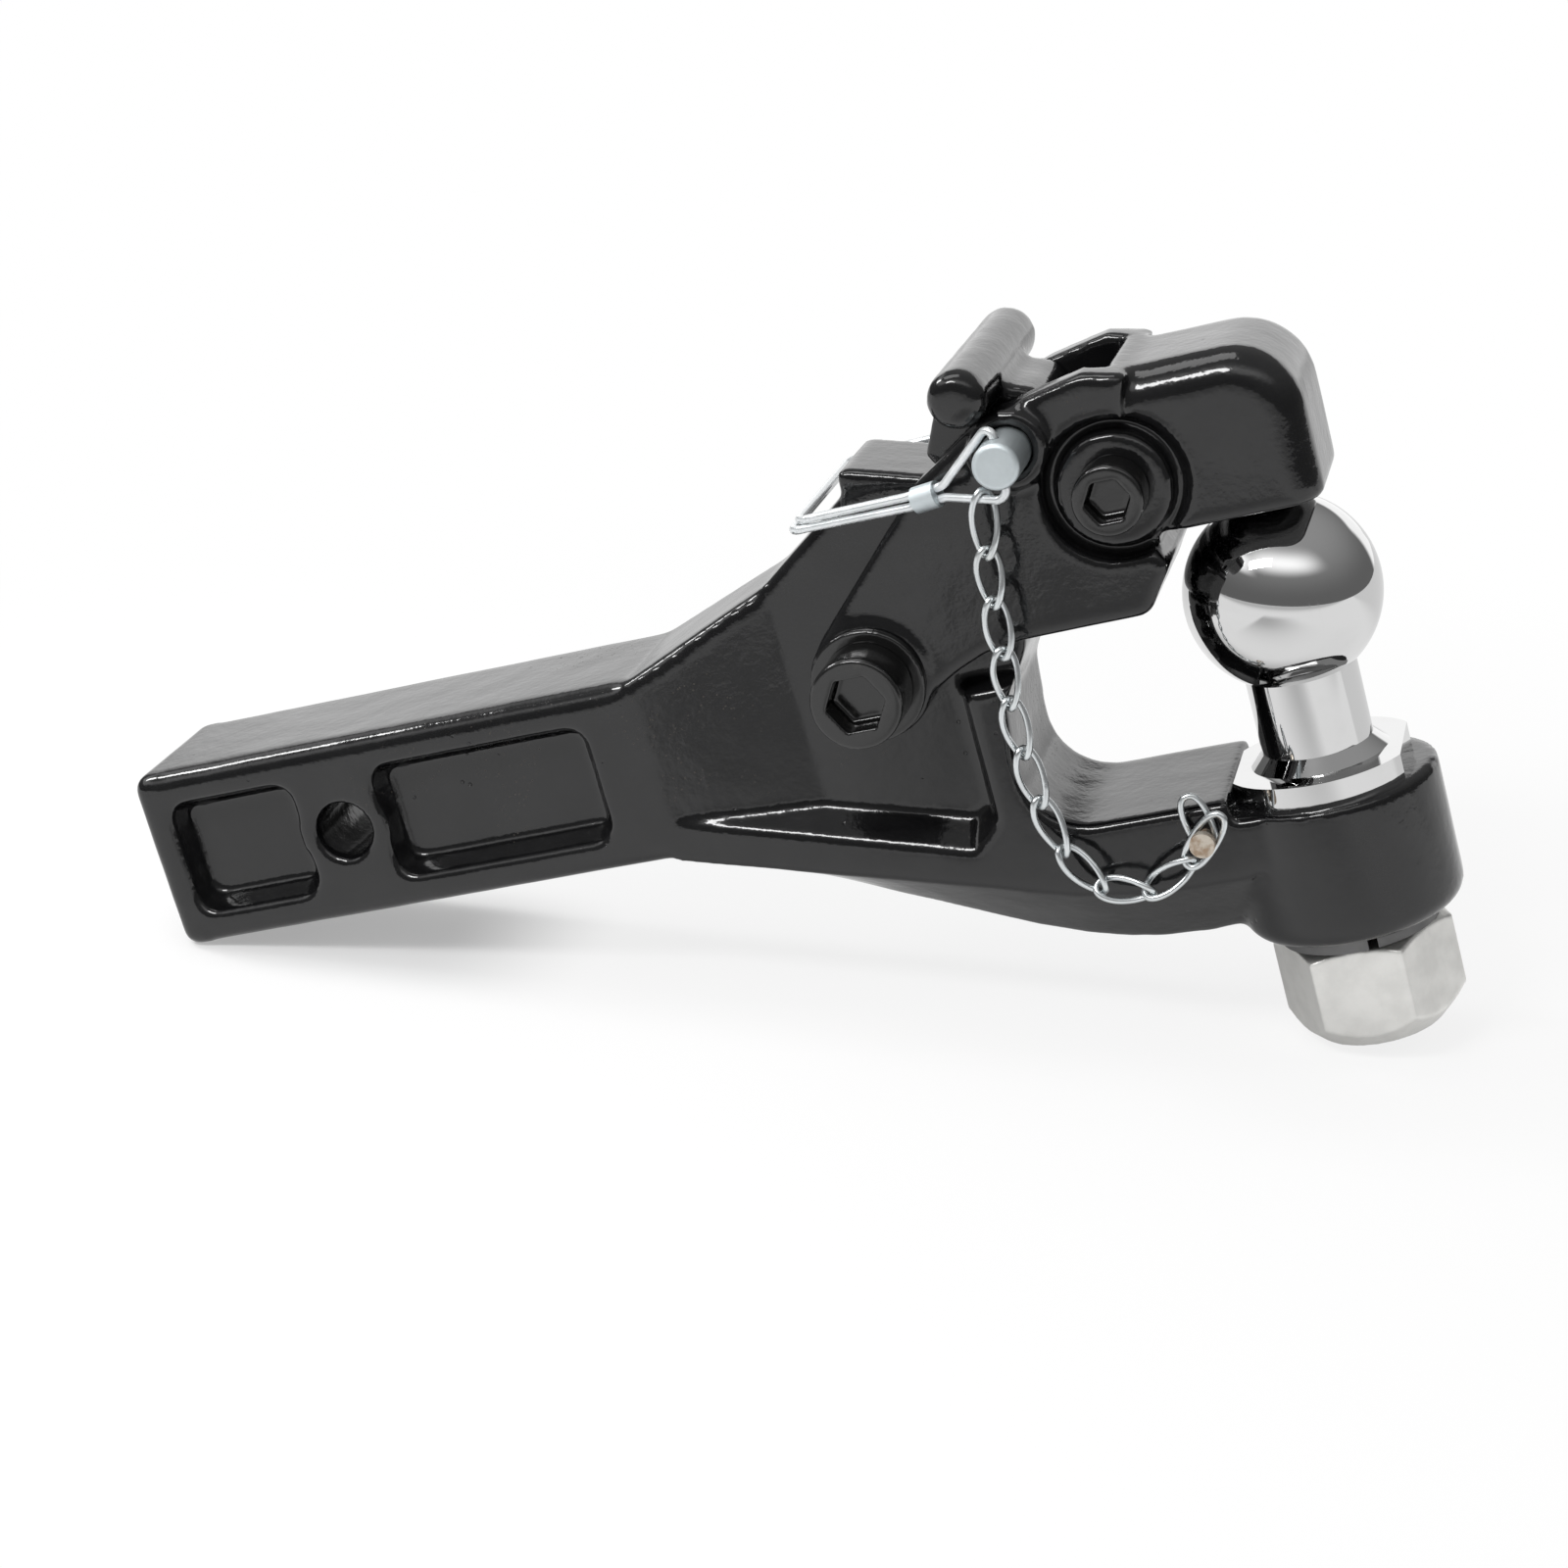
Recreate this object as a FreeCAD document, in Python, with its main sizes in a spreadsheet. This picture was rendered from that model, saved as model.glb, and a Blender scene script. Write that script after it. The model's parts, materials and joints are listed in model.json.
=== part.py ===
import FreeCAD, Part
import math
import os
import Sketcher

# Receiver-mounted towing hook with a fixed ball and a hinged upper jaw.
# The origin is the centre of the hitch-pin hole, on the mid-plane of the shank.
# X runs along the shank towards the ball, Y across it and Z up the ball's axis.
# All lengths are in millimetres.

Vector = FreeCAD.Vector
doc = FreeCAD.newDocument("towing_hook")
sheet = doc.addObject("Spreadsheet::Sheet", "Sizes")

SIZES = [
    # the square shank that slides into the receiver
    ("shank_width", "50.8"),
    ("shank_tail", "58"),
    ("shank_reach", "90.5"),
    ("shank_round", "4.5"),
    ("shank_end_round", "4"),
    ("pin_hole_dia", "16"),
    ("pin_boss_dia", "27"),
    ("pocket_depth", "9"),
    ("pocket_draft", "20"),
    ("pocket_rail", "8.7"),
    ("pocket_end_wall", "8"),
    ("pocket_root_wall", "14.5"),
    ("pocket_pillar", "23"),
    ("pocket_round", "6"),
    # the neck and the throat of the hook
    ("web_width", "34.8"),
    ("hump_height", "68"),
    ("hump_fall", "8"),
    ("seat_drop", "41"),
    ("seat_step", "5.5"),
    ("throat_round", "17"),
    ("keel_width", "14"),
    ("edge_round", "1.5"),
    ("ring_dia", "58"),
    ("ring_height", "38"),
    ("ring_round", "5"),
    # the two pivots, measured from the root of the neck and from the shank's axis
    ("jaw_pivot_run", "66"),
    ("jaw_pivot_rise", "14"),
    ("lock_pivot_run", "139"),
    ("lock_pivot_rise", "50.3"),
    # the ball and its fixings
    ("ball_run", "169.5"),
    ("ball_rise", "9.4"),
    ("ball_dia", "50.8"),
    ("ball_neck_dia", "29"),
    ("ball_shank_dia", "25.4"),
    ("shank_hole_gap", "0.2"),
    ("flange_dia", "50"),
    ("flange_thick", "6"),
    ("flange_flats", "43.2"),
    ("ball_washer_dia", "42"),
    ("ball_washer_thick", "4"),
    ("ball_nut_flats", "41.3"),
    ("ball_nut_height", "28"),
    # the upper jaw
    ("jaw_width", "54.8"),
    ("jaw_side_gap", "0.5"),
    ("cheek_round", "2"),
    ("jaw_boss_dia", "32"),
    ("jaw_boss_rise", "1"),
    ("nose_width", "48"),
    ("nose_length", "18.5"),
    ("nose_height", "42"),
    ("nose_gap", "0.8"),
    ("nose_round", "18"),
    ("nose_side_round", "9"),
    ("lock_boss_dia", "29"),
    ("lock_groove_dia", "36"),
    ("lock_groove_depth", "6.4"),
    # pivot bolts, with socket heads on the near side and nuts on the far side
    ("jaw_bolt_dia", "16"),
    ("lock_bolt_dia", "12"),
    ("head_ratio", "1.5"),
    ("head_height_ratio", "0.9"),
    ("hex_ratio", "0.86"),
    ("socket_ratio", "0.5"),
    ("nut_ratio", "1.5"),
    ("nut_height_ratio", "0.8"),
    ("bolt_end", "3"),
    ("bolt_running_gap", "0.05"),
    ("washer_ratio", "1.875"),
    ("washer_thick", "3"),
    ("face_gap", "0.3"),
    # the lock lever
    ("lever_side_gap", "0.7"),
    ("lever_hub_dia", "26"),
    ("lever_hub_gap", "1.5"),
    ("crossbar_dia", "15.2"),
    ("crossbar_length", "80"),
    ("crossbar_round", "4"),
    ("crossbar_run", "108.5"),
    ("crossbar_rise", "82.4"),
    # the safety pin, its wire and its chain
    ("safety_pin_dia", "12"),
    ("safety_pin_near", "46"),
    ("safety_pin_far", "38"),
    ("safety_pin_run", "116"),
    ("safety_pin_rise", "66"),
    ("safety_pin_gap", "0.4"),
    ("safety_boss_dia", "20"),
    ("safety_boss_rise", "3"),
    ("wire_dia", "2.2"),
    ("link_wire_dia", "1.9"),
    ("link_width", "8"),
    ("link_slack", "0.9"),
    ("rivet_dia", "6.5"),
    ("rivet_proud", "6"),
]

for row, (alias, value) in enumerate(SIZES, start=1):
    sheet.set("A%d" % row, alias)
    sheet.set("B%d" % row, value)
    sheet.setAlias("B%d" % row, alias)
doc.recompute()


class Size:
    """A length with its value now and the sheet formula that gives it."""

    def __init__(self, value, text):
        self.value = float(value)
        self.text = text

    def __add__(self, other):
        other = size(other)
        return Size(self.value + other.value, "(%s + %s)" % (self.text, other.text))

    def __sub__(self, other):
        other = size(other)
        return Size(self.value - other.value, "(%s - %s)" % (self.text, other.text))

    def __mul__(self, other):
        other = size(other)
        return Size(self.value * other.value, "(%s * %s)" % (self.text, other.text))

    def __truediv__(self, other):
        other = size(other)
        return Size(self.value / other.value, "(%s / %s)" % (self.text, other.text))

    def __neg__(self):
        return Size(-self.value, "(0 - %s)" % self.text)

    __radd__ = __add__

    def __rsub__(self, other):
        return size(other) - self


def size(value):
    """A plain number as a size."""
    if isinstance(value, Size):
        return value
    return Size(value, "%.6g" % value if value >= 0 else "(0 - %.6g)" % -value)


def cell(alias):
    """The size kept in the sheet under this name."""
    return Size(sheet.get(alias), "Sizes.%s" % alias)


def bind(thing, prop, value):
    """Ties a property to a sheet formula."""
    thing.setExpression(prop, size(value).text)


def origin_plane(body, role):
    return [item for item in body.Origin.OriginFeatures if item.Role == role][0]


def new_body(name):
    body = doc.addObject("PartDesign::Body", name)
    body.Label = name
    return body


def new_sketch(body, name, role="XZ_Plane", offset=None):
    """A sketch on an origin plane; on XZ_Plane a positive offset lies towards -Y."""
    sketch = body.newObject("Sketcher::SketchObject", name)
    sketch.AttachmentSupport = [(origin_plane(body, role), "")]
    sketch.MapMode = "FlatFace"
    if offset is not None:
        bind(sketch, "AttachmentOffset.Base.z", offset)
    return sketch


def pin_point(sketch, geometry, position, across, up):
    """Holds a point of the sketch at its two distances from the origin."""
    for kind, value in (("DistanceX", size(across)), ("DistanceY", size(up))):
        number = sketch.addConstraint(
            Sketcher.Constraint(kind, -1, 1, geometry, position, value.value))
        sketch.setExpression("Constraints[%d]" % number, value.text)


def outline(body, name, points, role="XZ_Plane", offset=None):
    """A closed outline of straight lines through the given points."""
    sketch = new_sketch(body, name, role, offset)
    points = [(size(across), size(up)) for across, up in points]
    count = len(points)
    for index in range(count):
        start = points[index]
        end = points[(index + 1) % count]
        sketch.addGeometry(Part.LineSegment(
            Vector(start[0].value, start[1].value, 0),
            Vector(end[0].value, end[1].value, 0)))
    for index in range(count):
        sketch.addConstraint(Sketcher.Constraint("Coincident", index, 2, (index + 1) % count, 1))
    for index in range(count):
        pin_point(sketch, index, 1, points[index][0], points[index][1])
    return sketch


def rounded_box(body, name, left, right, up, radius, offset):
    """A rectangle with round corners, as high above the X axis as below it."""
    sketch = new_sketch(body, name, "XZ_Plane", offset)
    left, right, up, radius = size(left), size(right), size(up), size(radius)
    ends = [
        ((left + radius, -up), (right - radius, -up)), ((right, -up + radius), (right, up - radius)),
        ((right - radius, up), (left + radius, up)), ((left, up - radius), (left, -up + radius))]
    centres = [(right - radius, -up + radius), (right - radius, up - radius),
               (left + radius, up - radius), (left + radius, -up + radius)]
    for index in range(4):
        start, end = ends[index]
        sketch.addGeometry(Part.LineSegment(
            Vector(start[0].value, start[1].value, 0), Vector(end[0].value, end[1].value, 0)))
        middle = Vector(centres[index][0].value, centres[index][1].value, 0)
        turn = math.pi / 2 * (index - 1)
        sketch.addGeometry(Part.ArcOfCircle(
            Part.Circle(middle, Vector(0, 0, 1), radius.value), turn, turn + math.pi / 2))
    for index in range(4):
        pin_point(sketch, 2 * index, 1, ends[index][0][0], ends[index][0][1])
        pin_point(sketch, 2 * index, 2, ends[index][1][0], ends[index][1][1])
        sketch.addConstraint(Sketcher.Constraint("Coincident", 2 * index, 2, 2 * index + 1, 1))
        sketch.addConstraint(Sketcher.Constraint("Coincident", 2 * index + 1, 2, (2 * index + 2) % 8, 1))
        number = sketch.addConstraint(Sketcher.Constraint(
            "DistanceX", -1, 1, 2 * index + 1, 3, centres[index][0].value))
        sketch.setExpression("Constraints[%d]" % number, centres[index][0].text)
    return sketch


def circles(body, name, centre, diameters, role="XZ_Plane", offset=None):
    """Circles about one centre; a second one inside the first leaves a ring."""
    sketch = new_sketch(body, name, role, offset)
    across, up = size(centre[0]), size(centre[1])
    for index, diameter in enumerate(diameters):
        diameter = size(diameter)
        sketch.addGeometry(Part.Circle(
            Vector(across.value, up.value, 0), Vector(0, 0, 1), diameter.value / 2))
        pin_point(sketch, index, 3, across, up)
        number = sketch.addConstraint(
            Sketcher.Constraint("Diameter", index, diameter.value))
        sketch.setExpression("Constraints[%d]" % number, diameter.text)
    return sketch


def extrude(body, kind, sketch, length, both=True, reverse=False, draft=None):
    """A pad or a pocket, to both sides of its sketch or to one side."""
    feature = body.newObject("PartDesign::" + kind, sketch.Name + "_" + kind.lower())
    feature.Profile = sketch
    feature.SideType = "Symmetric" if both else "One side"
    feature.Reversed = reverse
    bind(feature, "Length", length)
    if draft is not None:
        bind(feature, "TaperAngle", draft)
    doc.recompute()
    return feature


def loft(body, kind, name, sections):
    """A ruled loft between two outlines with as many corners each."""
    feature = body.newObject("PartDesign::" + kind, name)
    feature.Profile = sections[0]
    feature.Sections = sections[1:]
    feature.Ruled = True
    doc.recompute()
    return feature


def mirror(body, name, features):
    """The same features on the other side of the mid-plane."""
    feature = body.newObject("PartDesign::Mirrored", name)
    feature.Originals = features
    feature.MirrorPlane = (origin_plane(body, "XZ_Plane"), [""])
    body.Tip = feature
    doc.recompute()
    return feature


def round_edges(body, name, radius, wanted, kind="Fillet"):
    """Rounds or bevels every edge of the body so far that the test picks."""
    base = body.Tip
    names = []
    for number, edge in enumerate(base.Shape.Edges, start=1):
        if wanted(edge):
            names.append("Edge%d" % number)
    if not names:
        raise RuntimeError("no edge found for " + name)
    feature = body.newObject("PartDesign::" + kind, name)
    feature.Base = (base, names)
    bind(feature, "Radius" if kind == "Fillet" else "Size", radius)
    doc.recompute()
    return feature


def near(edge, points, reach=0.6):
    """True where an edge's middle lies within reach of one of the (x, z) points."""
    middle = edge.CenterOfMass
    for across, up in points:
        if math.hypot(middle.x - size(across).value, middle.z - size(up).value) < reach:
            return True
    return False


def along(edge, axis):
    """True for a straight edge that runs along the given axis."""
    if len(edge.Vertexes) != 2 or not isinstance(edge.Curve, (Part.Line, Part.LineSegment)):
        return False
    run = edge.Vertexes[1].Point - edge.Vertexes[0].Point
    return abs(abs(run.normalize().dot(axis)) - 1) < 1e-4


def on_side(edge, depth):
    """True where an edge's ends lie that far from the mid-plane, on one side."""
    places = [vertex.Y for vertex in edge.Vertexes]
    return (all(abs(abs(place) - size(depth).value) < 0.05 for place in places)
            and max(places) - min(places) < 0.1)


def within(edge, left, right, low, high):
    """True where an edge's ends lie inside a box in the side view."""
    return all(size(left).value - 0.05 <= vertex.X <= size(right).value + 0.05
               and size(low).value - 0.05 <= vertex.Z <= size(high).value + 0.05
               for vertex in edge.Vertexes)


ACROSS = Vector(0, 1, 0)
LENGTHWAYS = Vector(1, 0, 0)
UP = Vector(0, 0, 1)

half = cell("shank_width") / 2
web_half = cell("web_width") / 2
jaw_half = cell("jaw_width") / 2
root = cell("shank_reach")
jaw_pivot = (root + cell("jaw_pivot_run"), cell("jaw_pivot_rise"))
lock_pivot = (root + cell("lock_pivot_run"), cell("lock_pivot_rise"))
ball_x = root + cell("ball_run")
seat_z = -cell("seat_drop")
floor_z = seat_z + cell("seat_step")
ring_bottom = seat_z - cell("ring_height")
nose_z = cell("ball_rise") + cell("ball_dia") / 2 + cell("nose_gap")
hump_z = cell("hump_height")
safety_pivot = (root + cell("safety_pin_run"), cell("safety_pin_rise"))


def head(points):
    """Points measured from the root of the neck and from the shank's axis."""
    return [(root + across, up) for across, up in points]


# Hook body: a forged shank, a tapering neck, a throat and the ring that seats the ball.
hook = new_body("hook_body")
extrude(hook, "Pad", outline(hook, "shank_side", [
    (-cell("shank_tail"), -half), (root + 4, -half), (root + 4, half), (-cell("shank_tail"), half)]),
    cell("shank_width"))
round_edges(hook, "shank_edges", cell("shank_round"), lambda edge: along(edge, LENGTHWAYS))
round_edges(hook, "shank_end_edges", cell("shank_end_round"), lambda edge: abs(
    edge.CenterOfMass.x + cell("shank_tail").value) < 0.01)

step_x = ball_x - cell("flange_flats") / 2 - 0.4
neck_side = outline(hook, "neck_side", head([
    (-4, -half + 4), (0, -half), (64.2, -42), (103.5, -53), (128.5, -56), (146.5, -56)]) + [
    (step_x + 6, -56), (step_x + 6, seat_z), (step_x, seat_z), (step_x, floor_z)] + head([
    (96.5, floor_z), (96.5, -15), (98, 0), (105.5, 13), (103, 49), (95.6, hump_z - cell("hump_fall")),
    (68.1, hump_z), (68.1, 60.5), (40.5, 41), (0, half), (-4, half - 4)]))
extrude(hook, "Pad", neck_side, cell("shank_width"))

keel_edge = outline(hook, "keel_edge", head([
    (1.5, -22), (103.5, -46), (149.5, -46), (149.5, -56), (136, -56), (128.5, -56), (118, -54.9),
    (103.5, -53), (90, -49.2), (60, -41), (30.5, -33.3), (1.5, -25.8)]), offset=half)
keel_points = head([
    (1.5, -22), (103.5, -46), (149.5, -46), (149.5, -75.2), (132, -76.1), (120, -75.6), (110, -73.9),
    (100, -71.2), (88, -66.9), (60, -54.4), (30.5, -40.6), (1.5, -26)])
keel_line = outline(hook, "keel_line", keel_points, offset=cell("keel_width") / 2)
keel_side = loft(hook, "AdditiveLoft", "keel_side", [keel_edge, keel_line])
mirror(hook, "keel_sides", [keel_side])
extrude(hook, "Pad", outline(hook, "keel_middle", keel_points), cell("keel_width"))

recess_outer = outline(hook, "recess_outer", head([
    (0, hump_z + 2), (0, -14), (80.5, -37.6), (88.5, -31), (88.5, 5), (120, 5),
    (120, hump_z + 2)]), offset=half + 0.01)
recess_inner = outline(hook, "recess_inner", head([
    (42, hump_z + 2), (42, -19.4), (81.5, -30), (86.5, -26), (86.5, 7), (120, 7),
    (120, hump_z + 2)]), offset=web_half)
recess_side = loft(hook, "SubtractiveLoft", "recess_side", [recess_outer, recess_inner])
mirror(hook, "recess_sides", [recess_side])

extrude(hook, "Pad", circles(hook, "ring_plan", (ball_x, 0), [cell("ring_dia")], "XY_Plane", seat_z),
        cell("ring_height"), both=False, reverse=True)
round_edges(hook, "ring_edges", cell("ring_round"), lambda edge: isinstance(edge.Curve, Part.Circle)
            and abs(edge.CenterOfMass.z - ring_bottom.value) < 0.1 and edge.BoundBox.XMax > ball_x.value)
round_edges(hook, "throat_corner", cell("throat_round"), lambda edge: along(edge, ACROSS) and near(
    edge, head([(96.5, floor_z)])))
round_edges(hook, "throat_lip", 6, lambda edge: along(edge, ACROSS) and near(edge, head([(105.5, 13)])))
round_edges(hook, "hump_corners", 2, lambda edge: along(edge, ACROSS) and near(
    edge, head([(95.6, hump_z - cell("hump_fall")), (68.1, hump_z)])))
edge_round = cell("edge_round")
round_edges(hook, "throat_edges", edge_round, lambda edge: on_side(edge, half) and within(
    edge, root + 96, step_x, floor_z, 5))
round_edges(hook, "ledge_edges", edge_round, lambda edge: (
    on_side(edge, half) and within(edge, root, root + 89, -38, 5)
    and edge.CenterOfMass.x > root.value + 5
    and edge.CenterOfMass.z > -19 - 0.28 * (edge.CenterOfMass.x - root.value)))
round_edges(hook, "hump_edges", edge_round, lambda edge: on_side(edge, web_half) and within(
    edge, root + 68, root + 104, 48, hump_z))
extrude(hook, "Pocket", circles(hook, "ball_hole", (ball_x, 0), [
    cell("ball_shank_dia") + cell("shank_hole_gap") * 2], "XY_Plane"), cell("shank_width") * 8)
extrude(hook, "Pocket", circles(hook, "jaw_bolt_hole", jaw_pivot, [
    cell("jaw_bolt_dia") + cell("shank_hole_gap") * 2]), cell("jaw_width") * 4)

# Lightening pockets in both sides of the shank, either side of the hitch-pin boss.
pocket_z = half - cell("pocket_rail")
pillar = cell("pocket_pillar") / 2
pocket_spans = [
    ("tail", -cell("shank_tail") + cell("pocket_end_wall"), -pillar),
    ("long", pillar, root - cell("pocket_root_wall")),
]
for side, shift, turned in (("near", half, False), ("far", -half, True)):
    for name, left, right in pocket_spans:
        extrude(hook, "Pocket", rounded_box(
            hook, name + "_pocket_" + side, left, right, pocket_z, cell("pocket_round"), shift),
            cell("pocket_depth"), both=False, reverse=turned, draft=-cell("pocket_draft"))
extrude(hook, "Pad", circles(hook, "pin_boss", (0, 0), [cell("pin_boss_dia")]), cell("shank_width") - 1)
extrude(hook, "Pocket", circles(hook, "pin_hole", (0, 0), [cell("pin_hole_dia")]), cell("jaw_width") * 4)

# Upper jaw: one casting with two cheeks that straddle the neck and a solid nose over the ball.
jaw = new_body("upper_jaw")
nose_left = root + 134.5
nose_right = ball_x + cell("nose_length")
nose_top = nose_z + cell("nose_height")
extrude(jaw, "Pad", outline(jaw, "nose_side", [
    (nose_left, nose_z), (nose_right, nose_z), (nose_right, nose_top), (nose_left, nose_top)]),
    cell("nose_width"))
round_edges(jaw, "nose_front", cell("nose_round"), lambda edge: along(edge, ACROSS) and near(
    edge, [(nose_right, nose_top)]))
nose_half = cell("nose_width") / 2
round_edges(jaw, "nose_sides", cell("nose_side_round"), lambda edge: (
    abs(abs(edge.CenterOfMass.y) - nose_half.value) < 0.01
    and edge.CenterOfMass.z > nose_z.value + 0.1
    and edge.CenterOfMass.x > nose_left.value + 0.1))
round_edges(jaw, "nose_under", 2.5, lambda edge: (
    abs(edge.CenterOfMass.z - nose_z.value) < 0.01
    and edge.CenterOfMass.x > nose_left.value + 0.1))
extrude(jaw, "Pad", outline(jaw, "cheek_side", head([
    (54.5, 26), (90.5, 62), (106.5, 71.7), (110.5, 73.6), (121.5, 77.3), (137.5, 80.4), (148.5, 77.7),
    (145.5, 70), (145.5, 33), (148, 28.5), (143.5, 22), (140.5, 17), (106.5, 16.5), (96.5, 15),
    (88.1, 11.6), (80.5, 7), (66, 4)])), cell("jaw_width"))
round_edges(jaw, "cheek_toe", 4, lambda edge: along(edge, ACROSS) and near(edge, head([(140.5, 17)])))
round_edges(jaw, "cheek_rims", cell("cheek_round"), lambda edge: on_side(edge, jaw_half)
            and not along(edge, ACROSS))
extrude(jaw, "Pad", circles(jaw, "jaw_boss", jaw_pivot, [cell("jaw_boss_dia")]),
        cell("jaw_width") + cell("jaw_boss_rise") * 2)
extrude(jaw, "Pad", circles(jaw, "lock_boss", lock_pivot, [cell("lock_boss_dia")]), cell("jaw_width"))
extrude(jaw, "Pad", circles(jaw, "safety_boss", safety_pivot, [cell("safety_boss_dia")]),
        cell("jaw_width") + cell("safety_boss_rise") * 2)
slot_width = cell("web_width") + cell("jaw_side_gap") * 2
extrude(jaw, "Pocket", outline(jaw, "cheek_slot", head([
    (30, -12), (131.5, -12), (131.5, 36), (142, 42), (142, 95), (30, 95)])), slot_width)
extrude(jaw, "Pocket", circles(jaw, "hub_room", lock_pivot, [
    cell("lever_hub_dia") + cell("lever_hub_gap") * 2]), slot_width)
for side, shift, turned in (("near", jaw_half, False), ("far", -jaw_half, True)):
    extrude(jaw, "Pocket", circles(jaw, "lock_groove_" + side, lock_pivot, [
        cell("lock_groove_dia"), cell("lock_boss_dia")], offset=shift),
        cell("lock_groove_depth"), both=False, reverse=turned)
extrude(jaw, "Pocket", circles(jaw, "jaw_bolt_bore", jaw_pivot, [
    cell("jaw_bolt_dia") + cell("bolt_running_gap") * 2]), cell("jaw_width") * 4)
extrude(jaw, "Pocket", circles(jaw, "lock_bolt_bore", lock_pivot, [
    cell("lock_bolt_dia") + cell("shank_hole_gap") * 2]), cell("jaw_width") * 4)
extrude(jaw, "Pocket", circles(jaw, "safety_pin_bore", safety_pivot, [
    cell("safety_pin_dia") + cell("safety_pin_gap") * 2]), cell("jaw_width") * 4)

# Lock lever: a hub between the cheeks, a lug in front of the hump and a crossbar to lift it by.
lever = new_body("lock_lever")
lever_width = slot_width - cell("lever_side_gap") * 2
crossbar = (root + cell("crossbar_run"), cell("crossbar_rise"))
extrude(lever, "Pad", circles(lever, "lever_hub", lock_pivot, [cell("lever_hub_dia")]), lever_width)
extrude(lever, "Pad", outline(lever, "lever_arm", [lock_pivot] + head([
    (123.4, 77.2), (115.5, 80), (104.5, 84), (99.5, 82), (96.1, 74.7), (92, 66.3), (101.7, 52),
    (112.5, 50), (126, 46)])), lever_width)
extrude(lever, "Pad", circles(lever, "crossbar", crossbar, [cell("crossbar_dia")]),
        cell("crossbar_length"))
round_edges(lever, "crossbar_ends", cell("crossbar_round"), lambda edge: isinstance(
    edge.Curve, Part.Circle) and abs(abs(edge.CenterOfMass.y) - cell("crossbar_length").value / 2) < 0.01)
pin_across = safety_pivot[0].value - lock_pivot[0].value
pin_up = safety_pivot[1].value - lock_pivot[1].value
pin_reach = math.hypot(pin_across, pin_up)
pin_angle = math.atan2(pin_up, pin_across)
notch_half = cell("safety_pin_dia").value / 2 + 0.9
notch = []
for reach, turns in ((pin_reach - notch_half, (0, 15, 30, 45)), (pin_reach + notch_half, (45, 30, 15, 0))):
    for turn in turns:
        angle = pin_angle + math.radians(turn)
        spread = reach / math.cos(math.radians(7.5)) if reach > pin_reach else reach
        notch.append((lock_pivot[0] + spread * math.cos(angle), lock_pivot[1] + spread * math.sin(angle)))
extrude(lever, "Pocket", outline(lever, "pin_notch", notch), lever_width + 4)
extrude(lever, "Pocket", circles(lever, "pin_hollow", safety_pivot, [2 * notch_half]), lever_width + 4)
extrude(lever, "Pocket", circles(lever, "lever_bore", lock_pivot, [
    cell("lock_bolt_dia") + cell("bolt_running_gap") * 2]), cell("jaw_width") * 4)


def place(thing, at, towards_viewer=False):
    """Sets where a primitive starts; its axis runs up, or along -Y."""
    if towards_viewer:
        thing.Placement = FreeCAD.Placement(Vector(0, 0, 0), FreeCAD.Rotation(Vector(1, 0, 0), 90))
    for letter, value in zip("xyz", at):
        bind(thing, "Placement.Base." + letter, value)


def cylinder(name, diameter, height, at, towards_viewer=False):
    thing = doc.addObject("Part::Cylinder", name)
    bind(thing, "Radius", size(diameter) / 2)
    bind(thing, "Height", height)
    place(thing, at, towards_viewer)
    return thing


def hexagon(name, flats, height, at, towards_viewer=False):
    thing = doc.addObject("Part::Prism", name)
    thing.Polygon = 6
    bind(thing, "Circumradius", size(flats) / math.sqrt(3))
    bind(thing, "Height", height)
    place(thing, at, towards_viewer)
    return thing


def cone(name, bottom, top, height, at, towards_viewer=False):
    thing = doc.addObject("Part::Cone", name)
    bind(thing, "Radius1", size(bottom) / 2)
    bind(thing, "Radius2", size(top) / 2)
    bind(thing, "Height", height)
    place(thing, at, towards_viewer)
    return thing


def cut(name, base, tool):
    thing = doc.addObject("Part::Cut", name)
    thing.Base = base
    thing.Tool = tool
    thing.Refine = True
    return thing


def join(name, shapes):
    thing = doc.addObject("Part::MultiFuse", name)
    thing.Shapes = shapes
    thing.Refine = True
    return thing


def common(name, base, tool):
    thing = doc.addObject("Part::Common", name)
    thing.Base = base
    thing.Tool = tool
    return thing


def soften(name, base, radius, wanted):
    """Rounds the edges that the test picks on a solid made of primitives."""
    doc.recompute()
    thing = doc.addObject("Part::Fillet", name)
    thing.Base = base
    thing.Edges = [(number, radius, radius) for number, edge in enumerate(base.Shape.Edges, start=1)
                   if wanted(edge)]
    return thing


# Tow ball: ball, neck, a flange with two flats and a threaded shank down through the ring.
flange_top = seat_z + cell("flange_thick")
ball_z = cell("ball_rise")
ball = doc.addObject("Part::Sphere", "ball_sphere")
bind(ball, "Radius", cell("ball_dia") / 2)
place(ball, (ball_x, 0, ball_z))
neck = cylinder("ball_neck", cell("ball_neck_dia"), ball_z - flange_top, (ball_x, 0, flange_top))
flare = cone("ball_flare", cell("ball_neck_dia") + 7, cell("ball_neck_dia"), 3.5, (ball_x, 0, flange_top))
flange = cylinder("ball_flange", cell("flange_dia"), cell("flange_thick"), (ball_x, 0, seat_z))
flats = doc.addObject("Part::Box", "ball_flats")
bind(flats, "Length", cell("flange_flats"))
bind(flats, "Width", cell("flange_dia") * 2)
bind(flats, "Height", cell("flange_thick"))
place(flats, (ball_x - cell("flange_flats") / 2, -cell("flange_dia"), seat_z))
washer_bottom = ring_bottom - cell("ball_washer_thick")
nut_bottom = washer_bottom - cell("ball_nut_height")
thread_end = nut_bottom + 3
ball_shank = cylinder("ball_shank", cell("ball_shank_dia"), seat_z - thread_end, (ball_x, 0, thread_end))
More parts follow.
